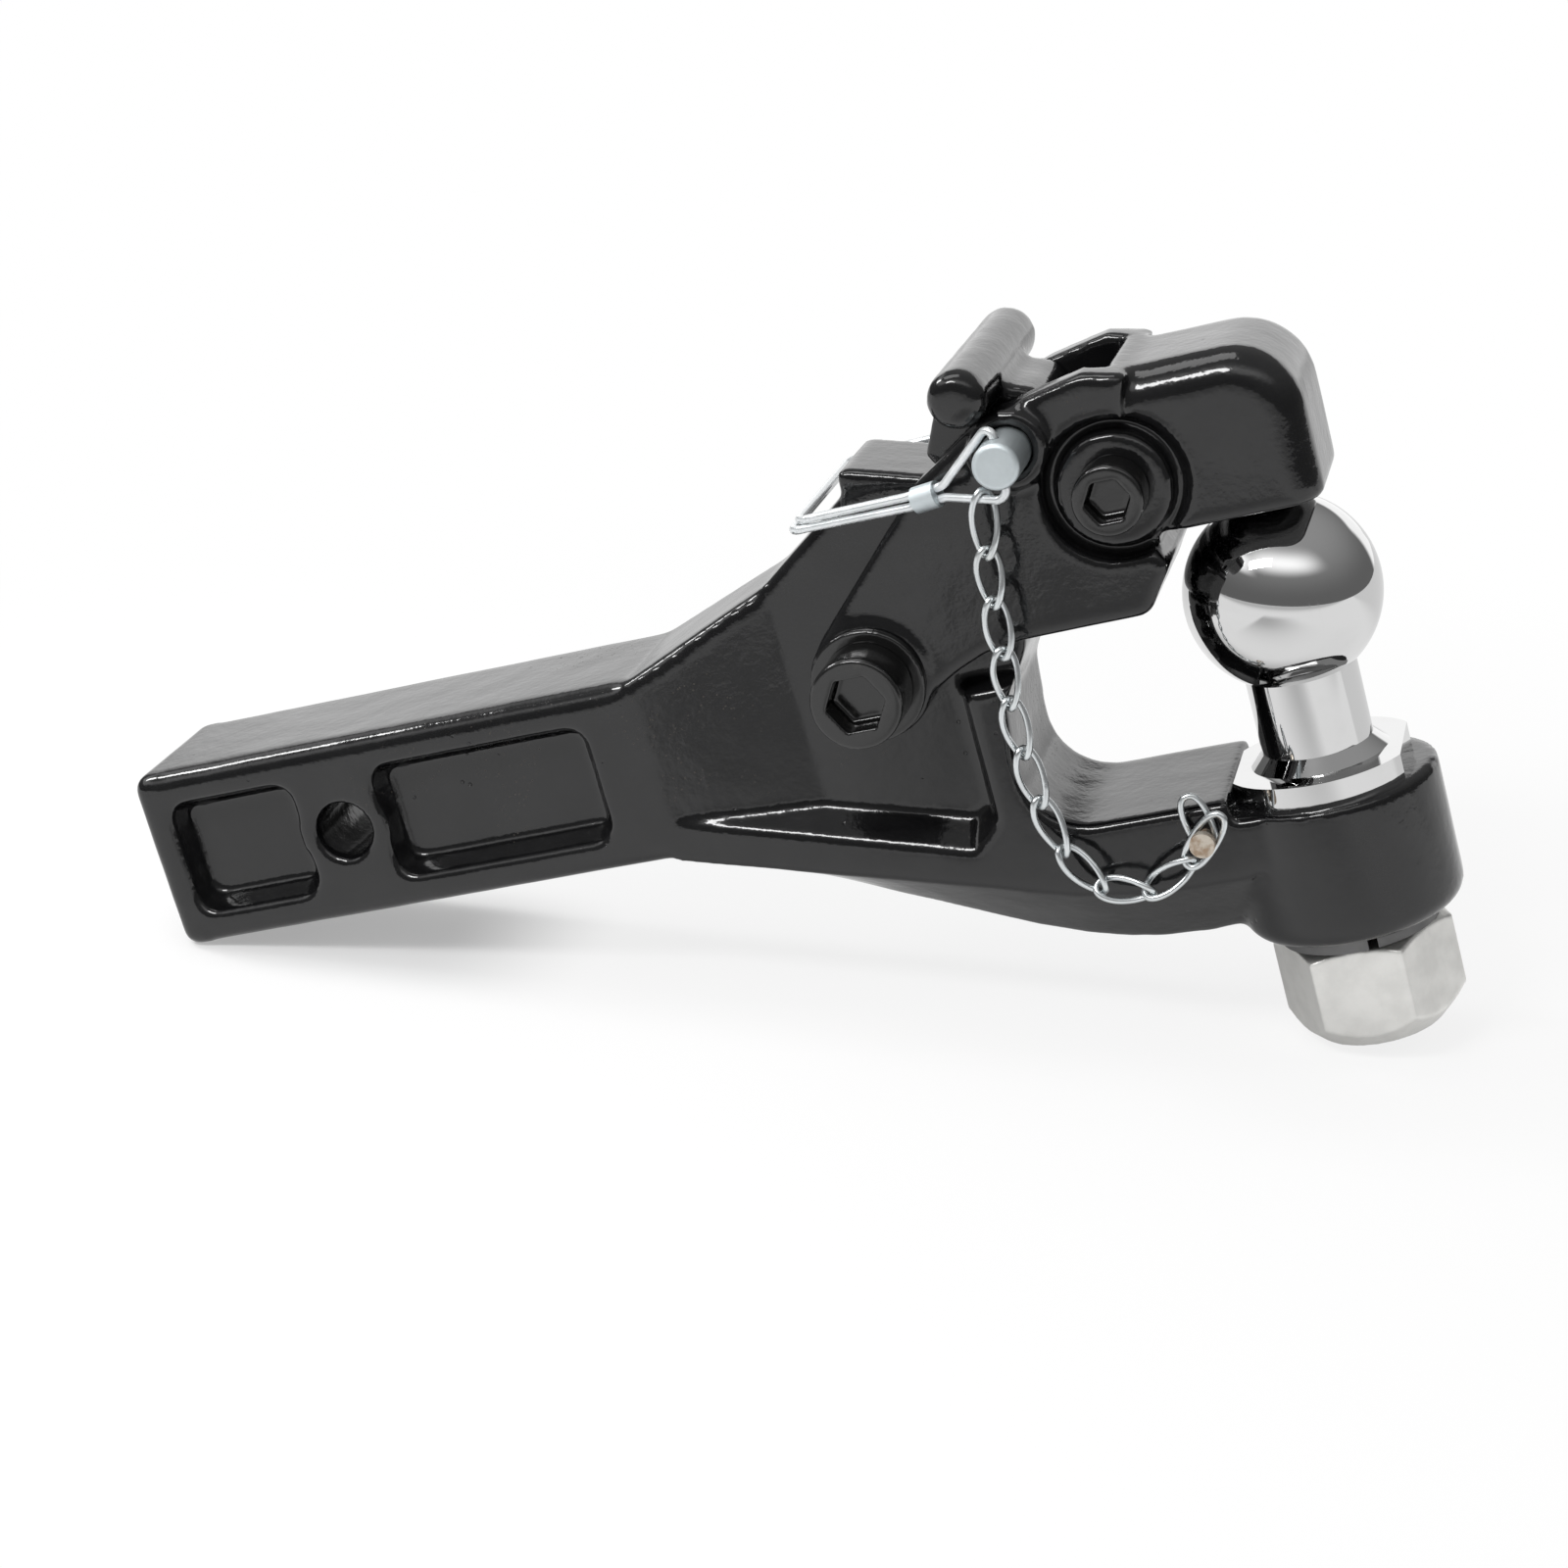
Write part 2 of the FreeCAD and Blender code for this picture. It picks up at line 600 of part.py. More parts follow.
top_flat = cylinder("ball_top", cell("ball_dia"), 5, (ball_x, 0, ball_z + cell("ball_dia") / 2 - 1.2))
tow_ball = cut("tow_ball", join("ball_solid", [
    ball, neck, flare, common("ball_seat", flange, flats), ball_shank]), top_flat)

# Spring washer, split on the near side, and the big nut under the ring.
spring_washer = cut("ball_spring_washer", cut(
    "washer_ring",
    cylinder("washer_disc", cell("ball_washer_dia"), cell("ball_washer_thick"), (ball_x, 0, washer_bottom)),
    cylinder("washer_hole", cell("ball_shank_dia") + cell("shank_hole_gap") * 2,
             cell("ball_washer_thick"), (ball_x, 0, washer_bottom))), None)
split = doc.addObject("Part::Box", "washer_split")
bind(split, "Length", 2.5)
bind(split, "Width", cell("ball_washer_dia"))
bind(split, "Height", cell("ball_washer_thick") * 2)
place(split, (ball_x + 4, -cell("ball_washer_dia"), washer_bottom - cell("ball_washer_thick") / 2))
spring_washer.Tool = split

flats_wide = cell("ball_nut_flats")
nut_tall = cell("ball_nut_height")
nut_bevel = cone("nut_bevel", flats_wide * 0.8, flats_wide * 0.8 + nut_tall * 2, nut_tall,
                 (ball_x, 0, nut_bottom))
nut_crown = cone("nut_crown", flats_wide + nut_tall * 3.46, flats_wide, nut_tall, (ball_x, 0, nut_bottom))
ball_nut = cut("ball_nut", common("nut_both_ends", common(
    "nut_one_end", hexagon("nut_hexagon", flats_wide, nut_tall, (ball_x, 0, nut_bottom)), nut_bevel),
    nut_crown), cylinder("nut_hole", cell("ball_shank_dia") + cell("shank_hole_gap") * 2, nut_tall,
                         (ball_x, 0, nut_bottom)))


def socket_bolt(name, pivot, diameter, under_head, far_end):
    """A socket-head bolt along Y: its head's underside and far end are given as y."""
    head_dia = diameter * cell("head_ratio")
    head_tall = diameter * cell("head_height_ratio")
    bolt_head = cylinder(name + "_head", head_dia, head_tall, (pivot[0], under_head, pivot[1]), True)
    stem = cylinder(name + "_stem", diameter, far_end - under_head, (pivot[0], far_end, pivot[1]), True)
    socket = hexagon(name + "_socket", diameter * cell("hex_ratio"), diameter * cell("socket_ratio") + 1,
                     (pivot[0], under_head - head_tall + diameter * cell("socket_ratio"), pivot[1]), True)
    solid = cut(name + "_solid", join(name + "_blank", [bolt_head, stem]), socket)
    face = under_head.value - head_tall.value
    end = far_end.value
    return soften(name, solid, 1.0, lambda edge: isinstance(edge.Curve, Part.Circle) and min(
        abs(edge.CenterOfMass.y - face), abs(edge.CenterOfMass.y - end)) < 0.01)


def flat_washer(name, pivot, diameter, near_face):
    """A plain washer along Y whose far face is at the given y."""
    return cut(name, cylinder(name + "_disc", diameter * cell("washer_ratio"), cell("washer_thick"),
                              (pivot[0], near_face, pivot[1]), True),
               cylinder(name + "_hole", diameter + cell("shank_hole_gap") * 2, cell("washer_thick"),
                        (pivot[0], near_face, pivot[1]), True))


def hex_nut(name, pivot, diameter, near_face):
    """A nut along Y on the far side, starting at the given y."""
    wide = diameter * cell("nut_ratio")
    tall = diameter * cell("nut_height_ratio")
    at = (pivot[0], near_face + tall, pivot[1])
    bevel = cone(name + "_bevel", wide * 0.97, wide * 0.97 + tall * 3.46, tall, at, True)
    return cut(name, common(name + "_blank", hexagon(name + "_hexagon", wide, tall, at, True), bevel),
               cylinder(name + "_hole", diameter + cell("shank_hole_gap") * 2, tall, at, True))


# The jaw bolt stays with the hook body: its washers stand just clear of the turning cheeks.
jaw_dia = cell("jaw_bolt_dia")
jaw_face = jaw_half + cell("jaw_boss_rise") + cell("face_gap")
jaw_stack = jaw_face + cell("washer_thick")
socket_bolt("jaw_bolt", jaw_pivot, jaw_dia, -jaw_stack,
            jaw_stack + jaw_dia * cell("nut_height_ratio") + cell("bolt_end"))
flat_washer("jaw_bolt_washer", jaw_pivot, jaw_dia, -jaw_face)
flat_washer("jaw_nut_washer", jaw_pivot, jaw_dia, jaw_stack)
hex_nut("jaw_bolt_nut", jaw_pivot, jaw_dia, jaw_stack)

# The lock bolt is clamped in the jaw: the lever turns on it.
lock_dia = cell("lock_bolt_dia")
lock_stack = jaw_half + cell("washer_thick")
socket_bolt("lock_bolt", lock_pivot, lock_dia, -jaw_half,
            lock_stack + lock_dia * cell("nut_height_ratio") + cell("bolt_end"))
flat_washer("lock_nut_washer", lock_pivot, lock_dia, lock_stack)
hex_nut("lock_bolt_nut", lock_pivot, lock_dia, lock_stack)

# Safety pin through both cheeks, cross-drilled near its near end for the wire.
wire = cell("wire_dia")
pin_near = cell("safety_pin_near")
eye_y = -(pin_near - 6)
pin_bar = cylinder("pin_bar", cell("safety_pin_dia"), pin_near + cell("safety_pin_far"),
                   (safety_pivot[0], cell("safety_pin_far"), safety_pivot[1]), True)
pin_drill = cylinder("pin_drill", wire + 0.5, cell("safety_pin_dia") * 2,
                     (safety_pivot[0], eye_y, safety_pivot[1] - cell("safety_pin_dia")))
soften("safety_pin", cut("pin_drilled", pin_bar, pin_drill), 1.5, lambda edge: isinstance(
    edge.Curve, Part.Circle) and min(abs(edge.CenterOfMass.y + pin_near.value),
                                     abs(edge.CenterOfMass.y - cell("safety_pin_far").value)) < 0.01)


def bent_wire(points, diameter, bend):
    """A round wire along straight runs joined by tangent bends."""
    points = [Vector(*point) for point in points]
    edges = []
    last = points[0]
    for index in range(1, len(points) - 1):
        before = (points[index - 1] - points[index]).normalize()
        after = (points[index + 1] - points[index]).normalize()
        half_turn = (math.pi - before.getAngle(after)) / 2
        room = 0.48 * min(points[index].distanceToPoint(points[index - 1]),
                          points[index].distanceToPoint(points[index + 1]))
        trim = min(bend * math.tan(half_turn), room)
        radius = trim / math.tan(half_turn)
        start = points[index] + before * trim
        end = points[index] + after * trim
        middle_way = (before + after).normalize()
        middle = points[index] + middle_way * (radius / math.cos(half_turn) - radius)
        if last.distanceToPoint(start) > 1e-6:
            edges.append(Part.LineSegment(last, start).toShape())
        edges.append(Part.Arc(start, middle, end).toShape())
        last = end
    edges.append(Part.LineSegment(last, points[-1]).toShape())
    path = Part.Wire(edges)
    way = (points[1] - points[0]).normalize()
    section = Part.Wire(Part.Circle(points[0], way, diameter / 2).toShape())
    return path.makePipeShell([section], True, False), path.Length


def from_root(points):
    """(x, y, z) with x measured from the root of the neck."""
    return [(root.value + across, depth, up) for across, depth, up in points]


# Wire bail: from the pin's cross hole, left in two strands, over the neck and round the pin's far end.
eye = eye_y.value
pin_x = safety_pivot[0].value - root.value
pin_z = safety_pivot[1].value
cheek = jaw_half.value
bail_route = from_root([
    (pin_x, eye, pin_z + 2.5), (pin_x, eye, pin_z + 10),
    (99.5, -cheek - 7.6, 61.9), (89.5, -cheek - 5.4, 60.4),
    (59.1, -cheek - 3.4, 57), (59.1, cheek + 3.4, 57),
    (89.5, cheek + 5.2, 60.4), (pin_x - 8.5, cheek + 6.6, pin_z + 6.8),
    (pin_x + 8.6, cheek + 6.6, pin_z + 8.2), (pin_x + 8.6, cheek + 6.6, pin_z - 8.6),
    (pin_x - 8.5, cheek + 6.6, pin_z - 8.6), (89.5, cheek + 5, 57.6),
    (56.8, cheek + 3.2, 54.7), (56.8, -cheek - 3.2, 54.7),
    (89.5, -cheek - 5.2, 57.6), (99.5, -cheek - 7.4, 58.9),
    (pin_x, eye, pin_z - 10), (pin_x, eye, pin_z - 2.5)])
bail_shape, bail_length = bent_wire(bail_route, wire.value, 4.5)
bail = doc.addObject("Part::Feature", "wire_bail")
bail.Shape = bail_shape


def ferrule_sleeve():
    """A crimped sleeve round both strands where the eye closes."""
    ends = []
    for near_end, far_end in ((bail_route[2], bail_route[3]), (bail_route[15], bail_route[14])):
        ends.append((Vector(*near_end), Vector(*far_end)))
    start = (ends[0][0] + ends[1][0]) / 2
    way = (ends[0][1] + ends[1][1]) / 2 - start
    length = way.Length * 0.62
    way.normalize()
    start = start + way * 2
    sleeve = Part.makeCylinder(wire.value * 1.55, length, start, way)
    for strand in ends:
        line = strand[1] - strand[0]
        bore = Part.makeCylinder(wire.value / 2 + 0.2, line.Length + 20, strand[0] - line, line)
        sleeve = sleeve.cut(bore)
    return sleeve


ferrule = doc.addObject("Part::Feature", "bail_ferrule")
ferrule.Shape = ferrule_sleeve()

# Keeper chain: round-wire links from the bail's lower leg down to a rivet in the side of the hook.
link_wire = cell("link_wire_dia").value
side_y = -half.value
rivet_y = side_y - 4.6
chain_joints = [Vector(*point) for point in from_root([
    (109.5, side_y - 12.5, 58.3), (106.8, side_y - 13.1, 43.9), (105.1, side_y - 12.6, 31),
    (103.9, side_y - 11.6, 17.4), (102.1, side_y - 10.6, 4), (101.9, side_y - 9.1, -9.9),
    (102.4, side_y - 7.6, -24.2), (104.8, side_y - 6.1, -38.6), (111.8, side_y - 5.1, -50.5),
    (123.6, rivet_y, -54), (135.9, rivet_y, -47.9), (145.4, rivet_y, -37.8)])]


def chain_link(start, end, roll):
    """A link whose ends reach just past its two joints, rolled about its length."""
    way = (end - start).normalize()
    side = (Vector(0, 1, 0) - way * way.y).normalize()
    normal = side * math.cos(roll) + way.cross(side) * math.sin(roll)
    across = normal.cross(way)
    reach = start.distanceToPoint(end) / 2 + (link_wire + cell("link_slack").value) / 2
    bow = (cell("link_width").value - link_wire) / 2
    run = reach - bow
    middle = (start + end) / 2
    corner = [middle + way * (run * a) + across * (bow * b) for a, b in ((-1, -1), (1, -1), (1, 1), (-1, 1))]
    path = Part.Wire([
        Part.LineSegment(corner[0], corner[1]).toShape(),
        Part.Arc(corner[1], middle + way * reach, corner[2]).toShape(),
        Part.LineSegment(corner[2], corner[3]).toShape(),
        Part.Arc(corner[3], middle - way * reach, corner[0]).toShape()])
    section = Part.Wire(Part.Circle(corner[0], way, link_wire / 2).toShape())
    return path.makePipeShell([section], True, False)


# The last link is loose: it stands on the rivet behind the riveted one.
chain_spans = list(zip(chain_joints, chain_joints[1:]))
loose_end = from_root([(140.9, side_y - 2.2, -44.7), (138.6, side_y - 2.2, -32.5)])
chain_spans.append([Vector(*point) for point in loose_end])
chain_names = []
for number, (start, end) in enumerate(chain_spans):
    name = "chain_link_%02d" % (number + 1)
    roll = math.radians(90 * min(number, 10) - 48 * (1 - min(number, 10) / 10))
    link = doc.addObject("Part::Feature", name)
    link.Shape = chain_link(start, end, roll)
    chain_names.append(name)

# Rivet through the last link but one, standing on the side of the hook.
rivet_at = (root + 140.5, -42.9)
rivet_proud = cell("rivet_proud")
join("chain_rivet", [
    cylinder("rivet_stem", cell("rivet_dia") * 0.49, rivet_proud, (rivet_at[0], -half, rivet_at[1]), True),
    cylinder("rivet_head", cell("rivet_dia"), 2.4, (rivet_at[0], -half - rivet_proud, rivet_at[1]), True)])

NODES = [
    "hook_body", "upper_jaw", "lock_lever", "tow_ball", "ball_spring_washer", "ball_nut",
    "jaw_bolt", "jaw_bolt_washer", "jaw_nut_washer", "jaw_bolt_nut",
    "lock_bolt", "lock_nut_washer", "lock_bolt_nut",
    "safety_pin", "wire_bail", "bail_ferrule", "chain_rivet",
] + chain_names

doc.recompute()
for thing in doc.Objects:
    if "Invalid" in thing.State or "Error" in thing.State:
        raise RuntimeError("%s did not build: %s" % (thing.Name, thing.State))
os.makedirs("parts", exist_ok=True)
solids = {}
for name in NODES:
    shape = doc.getObject(name).Shape
    if shape.isNull() or not shape.isValid() or len(shape.Solids) != 1:
        raise RuntimeError("%s is not one valid solid" % name)
    solids[name] = shape
for name, shape in solids.items():
    doc.getObject(name).Label = name
    shape.exportStep("parts/%s.step" % name)
    print("%-20s %9.0f mm3" % (name, shape.Volume))
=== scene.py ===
"""Looks for a pintle hook and tow ball hitch: black castings, chrome ball, zinc hardware, chain."""
import json
import math

import bmesh
import bpy
import numpy as np
from mathutils import Matrix, Vector, geometry, noise

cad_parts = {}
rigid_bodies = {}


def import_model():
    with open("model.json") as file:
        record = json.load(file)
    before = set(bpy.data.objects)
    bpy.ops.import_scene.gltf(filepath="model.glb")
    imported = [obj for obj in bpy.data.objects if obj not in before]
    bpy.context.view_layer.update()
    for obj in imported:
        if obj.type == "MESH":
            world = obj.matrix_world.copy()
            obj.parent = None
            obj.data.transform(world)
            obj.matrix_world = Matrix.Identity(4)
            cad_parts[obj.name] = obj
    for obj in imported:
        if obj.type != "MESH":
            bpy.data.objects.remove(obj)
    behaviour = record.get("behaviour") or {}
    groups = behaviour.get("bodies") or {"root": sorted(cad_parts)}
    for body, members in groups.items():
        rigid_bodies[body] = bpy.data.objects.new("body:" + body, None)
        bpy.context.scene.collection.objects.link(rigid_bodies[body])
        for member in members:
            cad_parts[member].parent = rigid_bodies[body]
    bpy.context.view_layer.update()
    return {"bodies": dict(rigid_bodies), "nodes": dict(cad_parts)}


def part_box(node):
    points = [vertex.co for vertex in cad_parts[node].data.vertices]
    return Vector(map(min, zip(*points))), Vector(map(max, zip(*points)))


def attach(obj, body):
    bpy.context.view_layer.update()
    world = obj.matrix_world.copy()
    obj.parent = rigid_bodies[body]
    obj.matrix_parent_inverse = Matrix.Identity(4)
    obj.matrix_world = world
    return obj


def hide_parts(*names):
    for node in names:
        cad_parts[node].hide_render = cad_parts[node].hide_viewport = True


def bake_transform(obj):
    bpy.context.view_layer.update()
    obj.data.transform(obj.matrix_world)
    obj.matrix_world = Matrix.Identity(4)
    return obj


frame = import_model()

bl_info = {
    "name": "Pintle Ball Hitch",
    "version": (1, 0, 0),
    "blender": (4, 5, 0),
    "location": "View3D > Sidebar > Hitch",
    "description": "Finishes for a combined pintle hook and tow ball",
    "category": "Object",
}

MM = 0.001
CASTINGS = ("hook_body", "upper_jaw", "lock_lever")
BLACK_BOLTS = ("jaw_bolt", "jaw_bolt_washer", "jaw_nut_washer", "jaw_bolt_nut",
               "lock_bolt", "lock_nut_washer", "lock_bolt_nut")
SOFT_BOLTS = ("jaw_bolt", "lock_bolt", "jaw_bolt_washer", "jaw_bolt_nut", "lock_bolt_nut")
SLOTS = {"casting": "black_paint", "bolt": "black_oxide", "nut": "nut_zinc", "bail": "bail_wire",
         "chain": "chain_zinc"}

# Where the keeper chain's links meet, in millimetres, from the bail down to the riveted link.
CHAIN_JOINTS = [
    (200.0, -37.9, 58.3), (197.3, -38.5, 43.9), (195.6, -38.0, 31.0), (194.4, -37.0, 17.4),
    (192.6, -36.0, 4.0), (192.4, -34.5, -9.9), (192.9, -33.0, -24.2), (195.3, -31.5, -38.6),
    (202.3, -30.5, -50.5), (214.1, -30.0, -54.0), (226.4, -30.0, -47.9), (235.9, -30.0, -37.8)]
LOOSE_LINK = [(231.4, -27.6, -44.7), (229.1, -27.6, -32.5)]
# The chain is split after these links: an upper run from the bail and a lower run that hangs from
# it.
UPPER_LINKS = 5
HANGING_LINKS = 10
LINK_LENGTH = 0.0163
LINK_ROLL = 90
LINK_SWAY = 7
LINK_SWAY_STEP = 2.4
END_TWIST = 0.1
LINK_POINTS = 56
WIRE_SIDES = 12
# Powers below 1 give a link blunter ends and straighter sides than an ellipse.
LINK_END_POWER = 0.86
LINK_SIDE_POWER = 0.82

# Casting edges that are rounded more than the rest: lines in millimetres, mirrored to the far side.
ROUND_EDGES = {"hook_body": [
    [(-50, 25.4, 25.4), (90.5, 25.4, 25.4)],
    [(90.5, 25.4, 25.4), (132, 17.4, 41.5)],
    [(132, 17.4, 41.5), (158.6, 17.4, 60.5)],
    [(-50, 25.4, -25.4), (90.5, 25.4, -25.4)]]}
ROUND_REACH = 0.008
ROUND_PASSES = 30
ROUND_CORE = 1.6
BOLT_PASSES = 4
RIPPLE_SCALE = 90
JOIN_DISTANCE = 0.000002
# More smoothing passes for a piece with thick enamel.
MORE_SOFT = {"lock_lever": 10}

# The bail's closed end leans up over this run, so that it clears the neck when the jaw is open.
BAIL_STRAIGHT = 0.185
BAIL_LEAN = 0.033
BAIL_LIFT = 0.0025

# Lines in the zinc, so many to the metre along x, y and z.
DRAWN_LINES = (500, 500, 60)
TURNED_LINES = (700, 90, 700)
WASHER_ZINC = (0.2, 0.2, 0.2)

FLOOR_REACH = 9.0
FLOOR_MIDDLE = 0.1
SHADOW_MIDDLE = (0.1, 0.0, -0.07)
TILT_LIMIT = 40
TILT_TRIES = 40
# Name, place, target, width, height and power of each soft box.
LAMPS = (
    ("front_box", (0.0, -0.85, 1.05), (0.12, 0, 0), 0.6, 0.22, 8),
    ("overhead_box", (0.1, 0.1, 1.4), (0.12, 0, 0), 0.9, 0.6, 4),
    ("left_box", (-0.55, 0.12, 0.97), (0.1, 0, 0), 0.2, 0.26, 3.4))
# The camera, fitted to the photograph.
CAMERA_LENS = 75.757
CAMERA_SENSOR = 36.0
CAMERA_CLIP = (0.05, 60.0)
CAMERA_PLACE = (0.3913, -0.8095, 0.2327)
CAMERA_RIGHT = Vector((0.9356, 0.2359, -0.2626))
CAMERA_DOWN = Vector((-0.1725, -0.3434, -0.9232))
CAMERA_AHEAD = Vector((-0.3079, 0.9091, -0.2806))


class Line:
    """A socket of a node tree that takes part in sums."""

    def __init__(self, tree, socket=None):
        self.tree = tree
        self.socket = socket

    def add(self, kind, settings=None, sockets=None, out=0):
        """A new node with its settings, then its sockets, set; gives one of its outputs."""
        node = self.tree.nodes.new(kind)
        for name, value in (settings or {}).items():
            setattr(node, name, value)
        for name, value in (sockets or {}).items():
            if isinstance(value, Line):
                self.tree.links.new(value.socket, node.inputs[name])
            else:
                node.inputs[name].default_value = value
        return Line(self.tree, node.outputs[out])

    def sum(self, operation, first, second=None):
        """A math node on one or two values."""
        sockets = {0: first}
        if second is not None:
            sockets[1] = second
        return self.add("ShaderNodeMath", {"operation": operation}, sockets)

    def __add__(self, other):
        return self.sum("ADD", self, other)

    def __radd__(self, other):
        return self.sum("ADD", other, self)

    def __sub__(self, other):
        return self.sum("SUBTRACT", self, other)

    def __rsub__(self, other):
        return self.sum("SUBTRACT", other, self)

    def __mul__(self, other):
        return self.sum("MULTIPLY", self, other)

    def __truediv__(self, other):
        return self.sum("DIVIDE", self, other)

    def __pow__(self, other):
        return self.sum("POWER", self, other)

    def step(self, low, high):
        """0 below low, 1 above high and a smooth rise between."""
        return self.add("ShaderNodeMapRange", {"interpolation_type": "SMOOTHSTEP"}, {
            "Value": self, "From Min": low, "From Max": high})

    def band(self, low, high, soft):
        """1 between low and high, with soft ends."""
        return self.step(low - soft, low + soft) * (1 - self.step(high - soft, high + soft))

    def grain(self, scale, detail=2.0, roughness=0.5):
        """Soft noise from 0 to 1, so many bumps to the metre."""
        return self.add("ShaderNodeTexNoise", {"noise_dimensions": "3D"}, {
            "Vector": self, "Scale": scale, "Detail": detail, "Roughness": roughness})

    def specks(self, scale, size):
        """Small dots scattered so many to the metre; size is a share of their spacing."""
        distance = self.add("ShaderNodeTexVoronoi", {"feature": "F1"}, {
            "Vector": self, "Scale": scale, "Randomness": 1.0})
        return 1 - distance.step(size * 0.6, size)

    def mix(self, factor, first, second):
        """Colour first where factor is 0, second where it is 1."""
        return self.add("ShaderNodeMix", {"data_type": "RGBA"}, {
            0: factor, 6: first, 7: second}, out=2)


def finish_material(name, build):
    """A material whose shader inputs come from build(line, position)."""
    material = bpy.data.materials.new(name)
    material.use_nodes = True
    tree = material.node_tree
    tree.nodes.clear()
    line = Line(tree)
    position = line.add("ShaderNodeTexCoord", None, None, out="Object")
    shader = line.add("ShaderNodeBsdfPrincipled", None, build(line, position))
    tree.links.new(shader.socket, tree.nodes.new("ShaderNodeOutputMaterial").inputs["Surface"])
    return material


def dented(line, height, depth):
    """A normal that follows a height from 0 to 1, so many metres deep."""
    return line.add("ShaderNodeBump", None, {"Height": height, "Distance": depth, "Strength": 1.0})


def shade(colour):
    """A colour with full alpha."""
    return (colour[0], colour[1], colour[2], 1.0)


def gloss_paint():
    """Thick black enamel over a rough casting: slow waves, orange peel, pits and a little dust."""
    def build(line, position):
        peel = position.grain(420, 2.0)
        waves = position.grain(70, 2.0)
        pits = position.specks(210, 0.13) * position.grain(35, 1.0).step(0.58, 0.7)
        dust = position.specks(620, 0.2) * position.grain(28, 2.0).step(0.55, 0.7)
        height = peel * 0.3 + position.grain(1100, 1.0) * 0.09 + waves * 0.8 - pits * 0.8
        cloud = position.grain(90, 3.0).step(0.4, 0.75)
        base = line.mix(cloud, shade(looks().paint), (0.008, 0.008, 0.0085, 1))
        base = line.mix(dust * 0.2, base, (0.16, 0.13, 0.10, 1))
        rough = looks().paint_roughness + waves.step(0.45, 0.8) * 0.07 + dust * 0.3
        return {"Base Color": base, "Roughness": rough, "IOR": 1.55,
                "Normal": dented(line, height, looks().peel_depth)}
    return finish_material("black_enamel", build)


def oiled_bolt():
    """Oiled black bolts, a little browner and duller where they are rubbed."""
    def build(line, position):
        rub = position.grain(160, 4.0, 0.65).step(0.62, 0.8)
        base = line.mix(rub * 0.5, shade(looks().bolt), (0.06, 0.055, 0.05, 1))
        return {"Base Color": base, "Roughness": 0.16 + rub * 0.15, "IOR": 1.55,
                "Coat Weight": 0.25, "Coat Roughness": 0.05,
                "Normal": dented(line, position.grain(420, 2.0), 0.00004)}
    return finish_material("oiled_bolt", build)


def chrome():
    """Mirror chrome with faint wipe marks."""
    def build(line, position):
        smear = position.grain(55, 4.0, 0.6).step(0.45, 0.8)
        scratch = line.add("ShaderNodeMapping", None, {"Vector": position, "Scale": (900, 900, 60)})
        hair = scratch.grain(1.0, 1.0).step(0.68, 0.75)
        base = line.mix(smear * 0.3, shade(looks().chrome), (0.55, 0.55, 0.54, 1))
        return {"Base Color": base, "Metallic": 1.0,
                "Roughness": 0.03 + smear * 0.05 + hair * 0.06,
                "Normal": dented(line, position.grain(60, 1.0), 0.00004)}
    return finish_material("chrome", build)


def zinc(name, colour, low, high, flow):
    """Zinc plating with a roughness from low to high: mottled, with fine drawn or turned lines."""
    def build(line, position):
        mottle = position.grain(140, 4.0, 0.6)
        stretched = line.add("ShaderNodeMapping", None, {"Vector": position, "Scale": flow})
        lines = stretched.grain(1.0, 2.0)
        darker = shade([channel * 0.93 for channel in colour])
        base = line.mix(mottle.step(0.35, 0.7), shade(colour), darker)
        stain = position.grain(60, 3.0).step(0.6, 0.8) * 0.12
        base = line.mix(stain, base, (0.62, 0.58, 0.48, 1))
        return {"Base Color": base, "Metallic": 1.0,
                "Roughness": low + mottle * (high - low) + lines * 0.06,
                "Normal": dented(line, lines * 0.6 + position.grain(700, 2.0) * 0.4, 0.00008)}
    return finish_material(name, build)


def coated_wire():
    """Bright wire under a clear plastic skin."""
    def build(line, position):
        cloud = position.grain(220, 3.0).step(0.4, 0.75)
        base = line.mix(cloud, shade(looks().wire), (0.86, 0.88, 0.90, 1))
        return {"Base Color": base, "Metallic": 0.55, "Roughness": 0.28 + cloud * 0.15,
                "Coat Weight": 1.0, "Coat Roughness": 0.08,
                "Normal": dented(line, position.grain(500, 1.0), 0.00003)}
    return finish_material("coated_wire", build)


def worn_rivet():
    """Bare rivet with a tan, rusty tone."""
    def build(line, position):
        rust = position.grain(300, 4.0, 0.6).step(0.4, 0.65)
        return {"Base Color": line.mix(rust, (0.62, 0.56, 0.48, 1), (0.36, 0.26, 0.18, 1)),
                "Metallic": 0.85 - rust * 0.5, "Roughness": 0.35 + rust * 0.3,
                "Normal": dented(line, position.grain(800, 3.0), 0.0001)}
    return finish_material("worn_rivet", build)


